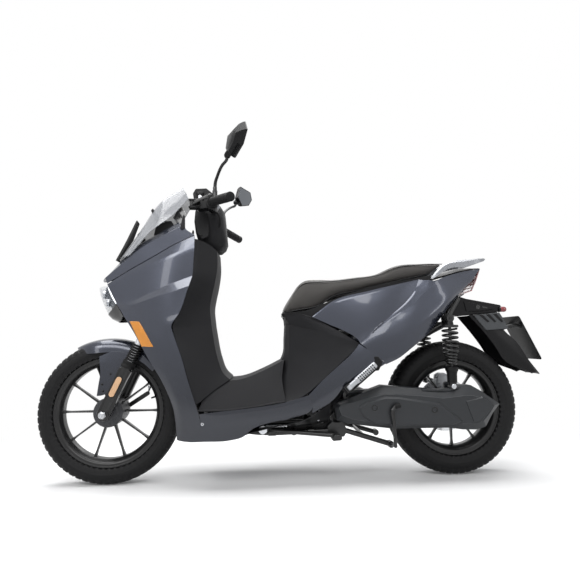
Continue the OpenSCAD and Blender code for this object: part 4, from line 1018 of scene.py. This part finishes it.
def mirror_point(p, scale, depth):
    """A point of the left mirror's outline, scaled about its middle and set back by a depth."""
    return (MIRROR_MIDDLE[0] + p[0] * scale * math.sin(MIRROR_TURN) + depth * math.cos(MIRROR_TURN),
            MIRROR_MIDDLE[1] - p[0] * scale * math.cos(MIRROR_TURN) + depth * math.sin(MIRROR_TURN),
            MIRROR_MIDDLE[2] + p[1] * scale + 0.12 * depth)


for side, word in SIDES:
    head = Shape()
    head.rings([[at(*mirror_point(p, k, d)) for p in MIRROR_OUTLINE] for k, d in (
        (0.34, -26), (0.62, -22), (0.86, -11), (0.98, 2), (1.0, 7), (0.985, 12), (0.93, 12), (0.92, 10))])
    head.lathe([(-13, 5), (-10, 9), (-4, 12.5), (6, 12.5), (16, 11), (30, 10)], MIRROR_PIVOT,
               (0.45, -0.65, 0.6), 24)
    head.build(f"mirror_shell_{word}", DARK, f"mirror_head_{word}", side=side, bevel=2.4, segments=3,
               replaces=[f"mirror_{word}"], angle=18)
    glass = Shape()
    glass.rings([[at(*mirror_point(p, k, d)) for p in MIRROR_OUTLINE] for k, d in (
        (0.91, 9.6), (0.91, 11), (0.895, 11.6))])
    glass.build(f"mirror_glass_{word}", MIRROR, f"mirror_head_{word}", side=side, bevel=0.4, angle=20)


# ---- swing arm and drive case ----
# The case steps out from its outline to a raised panel; faces between them make the facets.
CASE_OUTLINE = [(893, 303), (902, 316), (990, 347), (1083, 379), (1139, 374), (1230, 366), (1314, 358),
                (1355, 361), (1403, 375), (1439, 374), (1478, 352), (1553, 299), (1522, 262), (1492, 212),
                (1452, 201), (1400, 203), (1343, 211), (1230, 212), (1117, 213), (1030, 224), (943, 236),
                (900, 250)]
CASE_RAISED = [(906, 300), (914, 308), (992, 327), (1080, 346), (1138, 346), (1232, 338), (1316, 328),
               (1350, 330), (1396, 336), (1434, 336), (1468, 326), (1522, 298), (1500, 266), (1474, 238),
               (1446, 230), (1400, 228), (1340, 232), (1232, 232), (1120, 234), (1036, 242), (958, 256),
               (916, 272)]
case = Shape()


def flat_ring(outline, y):
    return [at(x, y, z) for x, z in outline]


case.rings([flat_ring(CASE_OUTLINE, -100), flat_ring(CASE_OUTLINE, -150), flat_ring(CASE_RAISED, -172),
            flat_ring(CASE_RAISED, -172)])
case.build("drive_case", CASE, "rear_arm", bevel=1.8, segments=2, replaces=["drive_cover"], angle=14)
pod = Shape()
low = [(976, 300), (1012, 322), (1086, 341), (1140, 338), (1308, 310), (1400, 236), (1352, 224), (1126, 224),
       (1040, 236), (996, 262)]
top = [(990, 299), (1018, 316), (1086, 332), (1140, 329), (1298, 303), (1378, 242), (1346, 232),
       (1130, 232), (1046, 243), (1004, 267)]
pod.rings([flat_ring(low, -170), flat_ring(top, -180)])
pod.build("drive_case_panel", CASE, "rear_arm", bevel=1.2, angle=14)
end = Shape()
low = [(1398, 322), (1478, 336), (1534, 302), (1470, 226), (1428, 228)]
top = [(1408, 314), (1474, 327), (1518, 300), (1462, 236), (1434, 238)]
end.rings([flat_ring(low, -160), flat_ring(top, -175)])
end.build("drive_case_end", CASE, "rear_arm", bevel=1.2, angle=14)
facet = Shape()
facet.rings([[at(*p) for p in ring] for ring in (
    [(900, -112, 311), (1082, -112, 375), (1104, -112, 366), (1096, -160, 352), (960, -160, 320),
     (910, -160, 309)],
    [(900, -112, 315), (1082, -112, 379), (1106, -112, 370), (1098, -162, 356), (960, -162, 324),
     (908, -162, 313)])])
facet.build("drive_case_top", CASE_TOP, "rear_arm", bevel=1.2, angle=16)
case_bolts = Shape()
for x, z in ((1043, 298), (1278, 285)):
    case_bolts.lathe([(-1, 13), (1.5, 12), (1.5, 8), (-4, 7.5), (-4, 5.4), (-1.6, 5), (-1.6, 0)],
                     (x, -180, z),
                     (0, -1, 0), 30)
for x, z in ((930, 270), (1100, 223), (1300, 222), (1450, 214)):
    case_bolts.bolt((x, -152, z), (0, -1, 0), 5)
case_bolts.build("drive_case_bolts", SATIN, "rear_arm", bevel=0.3)
Shape().prism([(1236, 366), (1300, 361), (1350, 365), (1396, 376), (1388, 360), (1340, 350), (1240, 354)],
              -160, -128).build("case_bulge", CASE, "rear_arm", bevel=5, segments=4)
caliper = Shape()
caliper.prism([(1368, 346), (1376, 400), (1392, 410), (1420, 408), (1440, 396), (1444, 352), (1426, 344),
               (1404, 352), (1384, 344)], 66.6, 80)
caliper.prism([(1378, 350), (1386, 396), (1426, 398), (1434, 352)], 44, 58)
caliper.prism([(1378, 392), (1390, 408), (1420, 406), (1432, 392)], 46, 78)
caliper.build("rear_caliper_body", ALLOY, "rear_arm", bevel=2, slot="frame_black",
              replaces=["rear_caliper"], segments=3)
caliper_bolts = Shape()
for x, z in ((1386, 366), (1426, 366)):
    caliper_bolts.bolt((x, 80, z), (0, 1, 0), 6)
    caliper_bolts.bolt((x, 44, z), (0, -1, 0), 5)
caliper_bolts.build("caliper_bolts", STEEL, "rear_arm", bevel=0.3)
for side, word in SIDES:
    Shape().lathe([(0, 15), (3, 15), (3.5, 12.5), (10, 12.5), (11, 11), (11, 5), (9, 5), (9, 0)],
                  (REAR_AXLE[0], -110, REAR_AXLE[1]), (0, -1, 0), 6).build(
        f"rear_nut_{word}", STEEL, "rear_arm", side=side, bevel=0.5)
    Shape().lathe([(0, 9.5), (3, 9.5), (4, 7), (8, 7), (8, 0)], (1364, -166, 372), (0, -1, 0), 20).build(
        f"shock_lower_nut_{word}", STEEL, "rear_arm", side=side, bevel=0.3)

# ---- rear shock absorbers ----
SHOCK_X, SHOCK_Y = 1364, -152
SPRING_TOP, SPRING_END = 604, 448
SPRING_TURNS = 9.5


def spring_point(t):
    """A point of the coil at share t from its top: wide turns first, narrow and close ones below."""
    r = 28 if t < 0.55 else 19 + 9 * max(0.0, (0.66 - t) / 0.11)
    fall = t * 0.66 / 0.55 if t < 0.55 else 0.66 + (t - 0.55) * 0.34 / 0.45
    angle = 2 * math.pi * SPRING_TURNS * t
    return (SHOCK_X + r * math.cos(angle), SHOCK_Y + r * math.sin(angle),
            SPRING_TOP - 6 - (SPRING_TOP - SPRING_END - 12) * fall)


for side, word in SIDES:
    coil = Shape().tube([spring_point(k / 304) for k in range(305)], 4.6, 10)
    spring = coil.build(f"shock_spring_{word}", SATIN, "shock_upper", side=side, angle=60,
                        replaces=["shock_springs"] if side == LEFT else ())
    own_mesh(spring)
    seat_top = Shape().lathe([(SPRING_TOP - 1, 12), (SPRING_TOP - 1, 32), (SPRING_TOP + 3, 33),
                              (SPRING_TOP + 7, 33), (SPRING_TOP + 9, 30), (SPRING_TOP + 9, 16),
                              (SPRING_TOP + 24, 13), (SPRING_TOP + 25, 8)], (SHOCK_X, SHOCK_Y, 0),
                             (0, 0, 1), 40)
    seat_top.build(f"shock_cap_{word}", DARK, "shock_upper", side=side, bevel=0.6)
    damper = Shape().lathe([(384, 12), (386, 19), (420, 19.5), (424, 21), (428, 21), (432, 24), (440, 26),
                            (446, 26), (448, 22), (448, 10)], (SHOCK_X, SHOCK_Y, 0), (0, 0, 1), 40)
    damper.build(f"shock_damper_{word}", DARK, "shock_lower", side=side, bevel=0.5)

# ---- tail ----
RAIL_TOP = [
    [(1306, -112, 808), (1310, -119, 806), (1314, -121, 802)],
    [(1376, -112, 872), (1382, -121, 866), (1400, -122, 850)],
    [(1446, -108, 884), (1450, -118, 876), (1456, -120, 852)],
    [(1500, -104, 889), (1503, -113, 884), (1506, -115, 869)],
    [(1530, -98, 893), (1535, -106, 890), (1538, -107, 880)],
    [(1551, -92, 889), (1552, -97, 888), (1553, -97, 887)]]
for side, word in SIDES:
    blade = Shape()
    ring_rows = []
    for top, mid, low in RAIL_TOP:
        inner_top = (top[0], top[1] + 14, top[2] - 1)
        inner_low = (low[0], low[1] + 12, low[2])
        ring_rows.append([at(*p) for p in (top, mid, low, inner_low, inner_top)])
    fine_rows = [spline([row[j] for row in ring_rows], 5) for j in range(5)]
    blade.rings([[column[i] for column in fine_rows] for i in range(len(fine_rows[0]))])
    blade.build(f"grab_rail_{word}", RAIL, side=side, bevel=1.6, segments=3,
                replaces=["grab_rail"] if side == LEFT else (), angle=24)
bridge = Shape()
BRIDGE_OUTLINE = [(1512, 878), (1520, 889), (1540, 893), (1552, 889), (1544, 880), (1524, 874)]
bridge.rings([flat_ring(BRIDGE_OUTLINE, y) for y in (-106, -80, -40, 0, 40, 80, 106)])
bridge.build("grab_rail_bridge", RAIL, bevel=2, segments=3, angle=24)

TAIL_TOP = [
    [(1318, -112, 806), (1318, -70, 818), (1318, 0, 822)],
    [(1384, -106, 824), (1380, -66, 836), (1380, 0, 840)],
    [(1450, -88, 842), (1444, -58, 852), (1440, 0, 856)],
    [(1546, -60, 856), (1546, -40, 860), (1546, 0, 862)]]
panel("tail_cover_skin", whole(TAIL_TOP), DARK, replaces=["tail_cover"],
      outward=(0, 0, 1), wall=3, steps=5, bevel=0.8)
LIGHT_ROWS = [
    [(1546, -63, 853), (1547, -46, 855), (1549, 0, 856)],
    [(1523, -71, 802), (1534, -46, 803), (1538, 0, 803)],
    [(1500, -76, 759), (1508, -50, 758), (1512, 0, 758)],
    [(1463, -77, 748), (1468, -52, 744), (1470, 0, 743)]]
panel("tail_light_lens", whole(LIGHT_ROWS), RED, replaces=["tail_light"],
      outward=(1, 0, -0.2), wall=3, steps=6, bevel=0.8, sharp_rows=(2,))
strip = Shape()
for k, (share, z) in enumerate(((0, 838), (0.33, 818), (0.66, 797), (1, 776))):
    strip.tube([(1545 - 24 * share - 8, -58, z), (1552 - 24 * share - 8, -30, z),
                (1553 - 24 * share - 8, 0, z),
                (1552 - 24 * share - 8, 30, z), (1545 - 24 * share - 8, 58, z)], 3, 8, 3)
strip.build("tail_light_bars", RED)
belly = Shape().grid(smooth_rows([[(x, y, z) for y in (-74, 0, 74)] for x, z in (
    (1300, 664), (1380, 700), (1440, 728), (1466, 743))], 3))
belly.build("tail_belly", DARK, solid=2.5, outward=(0.4, 0, -1), bevel=0.5)

ARM_SIDE = [(1424, 734), (1444, 740), (1484, 727), (1560, 713), (1634, 699), (1636, 690), (1630, 672),
            (1600, 666), (1540, 661), (1486, 657), (1444, 652), (1420, 656)]
arm = Shape().prism(ARM_SIDE, -52, 52)
arm.prism([(1470, 716), (1540, 702), (1600, 692), (1600, 680), (1540, 672), (1480, 672)], -56, 56)
arm.build("plate_arm", DARK, bevel=3.5, segments=3, angle=24,
          replaces=["rear_mudguard"])
arm_marks = Shape()
for side_y in (-56, 56):
    arm_marks.lathe([(0, 9), (2, 9), (2.4, 7), (1, 6.6), (1, 0)], (1530, side_y, 690),
                    (0, math.copysign(1, side_y), 0), 24)
    arm_marks.prism([(1548, 694), (1570, 690), (1574, 684), (1552, 686)], side_y - 1.6, side_y + 1.6)
arm_marks.build("plate_arm_marks", GLOSS, bevel=0.5)
GUARD_ROWS = [
    [(1487, -60, 655), (1500, -66, 656), (1560, -66, 662), (1612, -60, 668), (1630, 0, 672)],
    [(1541, -64, 592), (1552, -70, 592), (1590, -70, 592), (1634, -64, 594), (1650, 0, 596)],
    [(1596, -66, 516), (1606, -72, 520), (1640, -72, 534), (1682, -66, 546), (1696, 0, 550)],
    [(1620, -66, 474), (1636, -72, 478), (1690, -70, 490), (1736, -62, 466), (1744, 0, 468)],
    [(1748, -58, 408), (1752, -62, 410), (1764, -62, 414), (1786, -52, 407), (1787, 0, 408)]]
panel("rear_mudguard_skin", whole(GUARD_ROWS), DARK,
      outward=(0.6, -0.2, 0.4), wall=3, steps=6, bevel=1.0, sharp_cols=(1, 3, 5, 7), angle=20)
for side, word in SIDES:
    Shape().prism([(1502, 655), (1614, 666), (1630, 640), (1650, 597), (1552, 592), (1546, 600)],
                  -76, -68).build(
        f"mudguard_cheek_{word}", CHEEK, side=side, bevel=2)
    vents = Shape()
    for k in range(3):
        x = 1524 + 30 * k
        vents.prism([(x, 656 + 2 * k), (x + 16, 657 + 2 * k), (x + 44, 628), (x + 36, 624)], -78, -75)
    vents.build(f"mudguard_ribs_{word}", DARK, side=side, bevel=1.2)
    marker = Shape()
    marker.lathe([(-6, 7), (-4, 9), (2, 11.5), (20, 11.5), (26, 9.5), (29, 5), (30, 1)], (1630, -46, 681),
                 (1, 0, 0), 28)
    marker.build(f"marker_lamp_{word}", RED, side=side, angle=40)
    Shape().lathe([(-8, 8), (-7, 12.6), (1, 12.6), (2, 11)], (1630, -46, 681), (1, 0, 0), 28).build(
        f"marker_base_{word}", DARK, side=side, bevel=0.5)
PLATE_TOP, PLATE_END = Vector((1697, 0, 650)), Vector((1786, 0, 466))
PLATE_LEAN = math.atan2(PLATE_END.x - PLATE_TOP.x, PLATE_END.z - PLATE_TOP.z)
plate_long = (PLATE_END - PLATE_TOP).length
outline = []
for cy, cz, start in ((64, plate_long - 10, 0), (-64, plate_long - 10, 90), (-64, 10, 180), (64, 10, 270)):
    for angle in (math.radians(start + 22.5 * k) for k in range(5)):
        outline.append((cy + 10 * math.cos(angle), cz + 10 * math.sin(angle)))
board = Shape().rings([[at(x, y, z) for y, z in outline] for x in (-3, 0)])
board.moved(PLATE_TOP, PLATE_LEAN).build("plate_board", DARK, bevel=0.8,
                      replaces=["plate_holder"])
fixing = Shape()
for y in (-50, 50):
    fixing.lathe([(0, 7), (1.4, 7), (2.4, 4), (2.4, 0)], (-3, y, 40), (-1, 0, 0), 20)
    fixing.lathe([(-2, 7), (8, 7), (8, 0)], (0, y, 40), (1, 0, 0), 16)
fixing.moved(PLATE_TOP, PLATE_LEAN).build("plate_bolts", SATIN, bevel=0.3, slot="steel")
for side, word in SIDES:
    Shape().tube([(1642, -40, 600), (1700, -40, 612), (1722, -40, 606)], 8, 14, 2).build(
        f"plate_strut_{word}", SATIN, side=side)

# ---- stands, footpegs and the underside ----
PEG_BASE = Vector((941, -199, 381))
PEG_TILT = math.radians(39.4)
PEG_ALONG = Vector((math.cos(PEG_TILT), 0, math.sin(PEG_TILT)))
PEG_ACROSS = Vector((-PEG_ALONG.z, 0, PEG_ALONG.x))


def peg_at(a, y, b):
    """A point so far along the folded left footpeg, outward from its pivot and across it."""
    p = PEG_BASE + a * PEG_ALONG + b * PEG_ACROSS
    return (p.x, p.y + y, p.z)


for side, word in SIDES:
    bar = Shape()
    profile = [(4, 8), (6, 11.5), (34, 11.5), (36, 14), (128, 14), (132, 12.4), (134, 8)]
    bar.rings([[at(*peg_at(a, -12 + 0.66 * r * c, 0.9 * r * s))
                for c, s in (squared(angle, 0.62) for angle in turns(24))] for a, r in profile])
    bar.lathe([(-9, 8), (-8.6, 9), (8.6, 9), (9, 8)], peg_at(0, -12, 0), PEG_ACROSS, 24)
    bar.build(f"footpeg_bar_{word}", ALLOY, f"footpeg_{word}", side=side, bevel=0.6,
              replaces=[f"peg_{word}"], angle=30)
    pad = Shape()
    for k in range(9):
        a = 46 + 9 * k
        for b in (-1, 1):
            low_a, high_a = a, a + 4.5
            corners = [(low_a, -18.5), (high_a, -18.5), (high_a, -21.6), (low_a, -21.6)]
            pad.rings([[at(*peg_at(ca, cy, b * w)) for ca, cy in corners] for w in (1.5, 10)])
    pad.build(f"footpeg_grip_{word}", RUBBER, f"footpeg_{word}", side=side, bevel=0.5)
    cradle = Shape()
    ring_pts = [(-26, -15), (-26, 15), (-8, 22), (152, 22), (162, 12), (162, -14), (150, -22), (-8, -22)]
    cradle.rings([[at(*peg_at(a, y, b)) for a, b in ring_pts] for y in (1.5, 5.5)])
    cradle.build(f"footpeg_recess_{word}", DARK, side=side, bevel=2, segments=3)

BELLY_ROWS = [
    [(402, -180, 189), (402, -60, 196), (402, 60, 196), (402, 180, 189)],
    [(480, -182, 192), (480, -60, 198), (480, 60, 198), (480, 182, 192)],
    [(560, -184, 212), (560, -110, 218), (560, 110, 218), (560, 184, 212)],
    [(640, -186, 232), (640, -110, 226), (640, 110, 226), (640, 186, 232)],
    [(780, -190, 262), (780, -104, 226), (780, 104, 226), (780, 190, 262)],
    [(872, -190, 320), (872, -100, 236), (872, 100, 236), (872, 190, 320)]]
panel("belly_pan", BELLY_ROWS, DARK, outward=(0, 0, -1), wall=3, steps=4, bevel=0.8)
INNER_GUARD = [
    [(872, -150, 300), (912, -120, 420), (1000, -90, 520), (1096, -70, 600)],
    [(902, -150, 324), (950, -120, 432), (1034, -90, 520), (1110, -70, 584)],
    [(936, -150, 366), (990, -120, 430), (1058, -90, 500), (1116, -70, 520)]]
for side, word in SIDES:
    panel(f"inner_guard_{word}", INNER_GUARD, DARK, side=side, wall=3, steps=5,
          outward=(0, -1, -0.3), bevel=0.8)
LINER_ROWS = [[(x, y, z) for y in (-92, -60, 0, 60, 92)] for x, z in (
    (884, 300), (926, 400), (1010, 500), (1104, 580), (1200, 626), (1300, 652))]
panel("rear_liner", LINER_ROWS, DARK, outward=(0.6, 0, -0.6), wall=3, steps=4,
      bevel=0.6)
Shape().grid(smooth_rows([[(x, y, z) for y in (-64, 0, 64)] for x, z in (
    (1022, 384), (1036, 428), (1093, 432), (1110, 506))], 3)).build(
    "rear_mud_flap", DARK, solid=3, outward=(1, 0, -0.4), bevel=0.6)
Shape().prism([(500, 194), (560, 204), (880, 206), (890, 240), (800, 262), (560, 240), (500, 222)],
              -98, 98).build(
    "under_tray", DARK, bevel=3)
rails = Shape()
for y in (-122, 122):
    rails.tube([(540, y, 214), (600, y, 205), (760, y, 205), (905, y, 208)], 9, 14, 3)
    for x, half in ((650, 16), (735, 9), (800, 14)):
        rails.lathe([(-half, 10), (2 - half, 14), (half - 2, 14), (half, 10)], (x, y, 206), (1, 0, 0), 20)
    rails.prism([(866, 186), (884, 180), (930, 184), (944, 206), (930, 236), (884, 240), (866, 226)],
                y - 9, y + 3)
rails.build("under_rails", SATIN, bevel=0.8)
stand = Shape()
stand.lathe([(0, 17), (4, 17), (5, 15), (5, 6), (9, 6), (10, 4), (10, 0)], (614, -126, 216), (0, -1, 0), 28)
stand.build("side_stand_pivot_cap", STEEL, "stand_side", bevel=0.4)
spring_coil = Shape()
spring_coil.tube([(626 + 1.05 * k, -136 + 6 * math.cos(1.3 * k), 232 + 6 * math.sin(1.3 * k))
                  for k in range(80)], 1.5, 6)
spring_coil.build("side_stand_spring", STEEL, "stand_side", angle=60)
stand_foot = Shape().prism([(872, 186), (884, 204), (906, 202), (914, 190), (908, 182), (880, 180)],
                           -192, -160)
stand_foot.build("side_stand_foot", SATIN, "stand_side", bevel=3, segments=3)
link = Shape()
link.prism([(826, 246), (834, 248), (846, 308), (838, 310)], -132, -126)
link.bolt((830, -132, 250), (0, -1, 0), 5)
link.bolt((842, -132, 305), (0, -1, 0), 5)
link.build("stand_link", STEEL, bevel=0.6)
pedal = Shape().tube([(1116, -190, 156), (1113, -191, 240), (1110, -192, 292), (1118, -193, 302),
                      (1134, -194, 306)], [6.6, 6.6, 6.8, 6.6, 6], 14, 5)
pedal.build("centre_stand_pedal", SATIN, "stand_centre")
pedal_pad = Shape()
pedal_pad.lathe([(-12, 6), (-11, 9), (11, 9), (12, 6)], (1128, -194, 305), (1, 0, 0.25), 20)
pedal_pad.build("pedal_rubber", RUBBER, "stand_centre", bevel=0.5)


# ---- seat ----
SEAT_RINGS = [
    (700, 674, 704, 686, 50), (716, 675, 742, 746, 76), (760, 683, 784, 799, 98),
    (843, 699, 846, 803, 120), (897, 734, 902, 801, 133), (1000, 758, 996, 810, 138),
    (1080, 777, 1079, 821, 139), (1150, 792, 1146, 850, 135), (1184, 800, 1174, 859, 131),
    (1262, 818, 1265, 868, 118), (1298, 826, 1334, 873, 104), (1316, 834, 1378, 875, 90)]


def seat_ring(low_x, low_z, top_x, top_z, half):
    """One cross-section of the seat, from its left lower edge over the top to the right one."""
    section = [(0.0, 0.9), (0.34, 1.0), (0.68, 0.99), (0.9, 0.93), (0.98, 0.8), (1.0, 0.5)]
    row = [(low_x + s * (top_x - low_x), -k * half, low_z + s * (top_z - low_z)) for s, k in section]
    crown = (top_x, 0, top_z + 2)
    return row + [crown] + [(x, -y, z) for x, y, z in reversed(row)]


def make_seat():
    """The padded seat: a smooth skin over its cross-sections, swollen by a short cloth run."""
    rows = smooth_rows([seat_ring(*values) for values in SEAT_RINGS], 4)
    seat = Shape().rings(rows).build("seat_pad", SEAT, "seat", replaces=["seat_cushion"], angle=60)
    swell(seat)
    return seat


def swell(obj):
    """Inflates a padded piece a little by a short cloth run and keeps it near its own shape."""
    scene = bpy.context.scene
    bpy.context.view_layer.objects.active = obj
    shrink = obj.modifiers.new("even", "REMESH")
    shrink.mode = "VOXEL"
    shrink.voxel_size = 0.006
    bpy.ops.object.modifier_apply(modifier="even")
    before = [v.co.copy() for v in obj.data.vertices]
    cloth = obj.modifiers.new("cloth", "CLOTH")
    cloth.settings.use_pressure = True
    cloth.settings.uniform_pressure_force = 4
    cloth.settings.tension_stiffness = 40
    cloth.settings.compression_stiffness = 40
    cloth.settings.bending_stiffness = 12
    cloth.settings.effector_weights.gravity = 0
    for number in range(1, 21):
        scene.frame_set(number)
    bpy.ops.object.modifier_apply(modifier="cloth")
    scene.frame_set(1)
    limit = 3.5 * MM
    for vertex, old in zip(obj.data.vertices, before):
        step = vertex.co - old
        if step.length > limit:
            step = step.normalized() * limit
        vertex.co = old + step
    smooth = obj.modifiers.new("relax", "SMOOTH")
    smooth.factor = 0.5
    smooth.iterations = 4
    bpy.ops.object.modifier_apply(modifier="relax")
    fine = obj.modifiers.new("fine", "SUBSURF")
    fine.levels = fine.render_levels = 1
    bpy.ops.object.modifier_apply(modifier="fine")
    obj.data.shade_smooth()


seat_pad = make_seat()


# A piped seam along the shoulder of the seat, and the edge of its base below.
seam_path = [seat_ring(*values)[3] for values in SEAT_RINGS[1:]]
for side, word in SIDES:
    Shape().tube([(x, y - 1.6, z) for x, y, z in seam_path], 1.7, 8, 4).build(
        f"seat_edge_seam_{word}", RUBBER, "seat", side=side, angle=60)
edge_rows = [seat_ring(*values)[0] for values in SEAT_RINGS]
for side, word in SIDES:
    Shape().tube([(x, y - 1, z - 1) for x, y, z in edge_rows], 3.4, 10, 4).build(
        f"seat_lower_edge_{word}", DARK, "seat", side=side, angle=60)
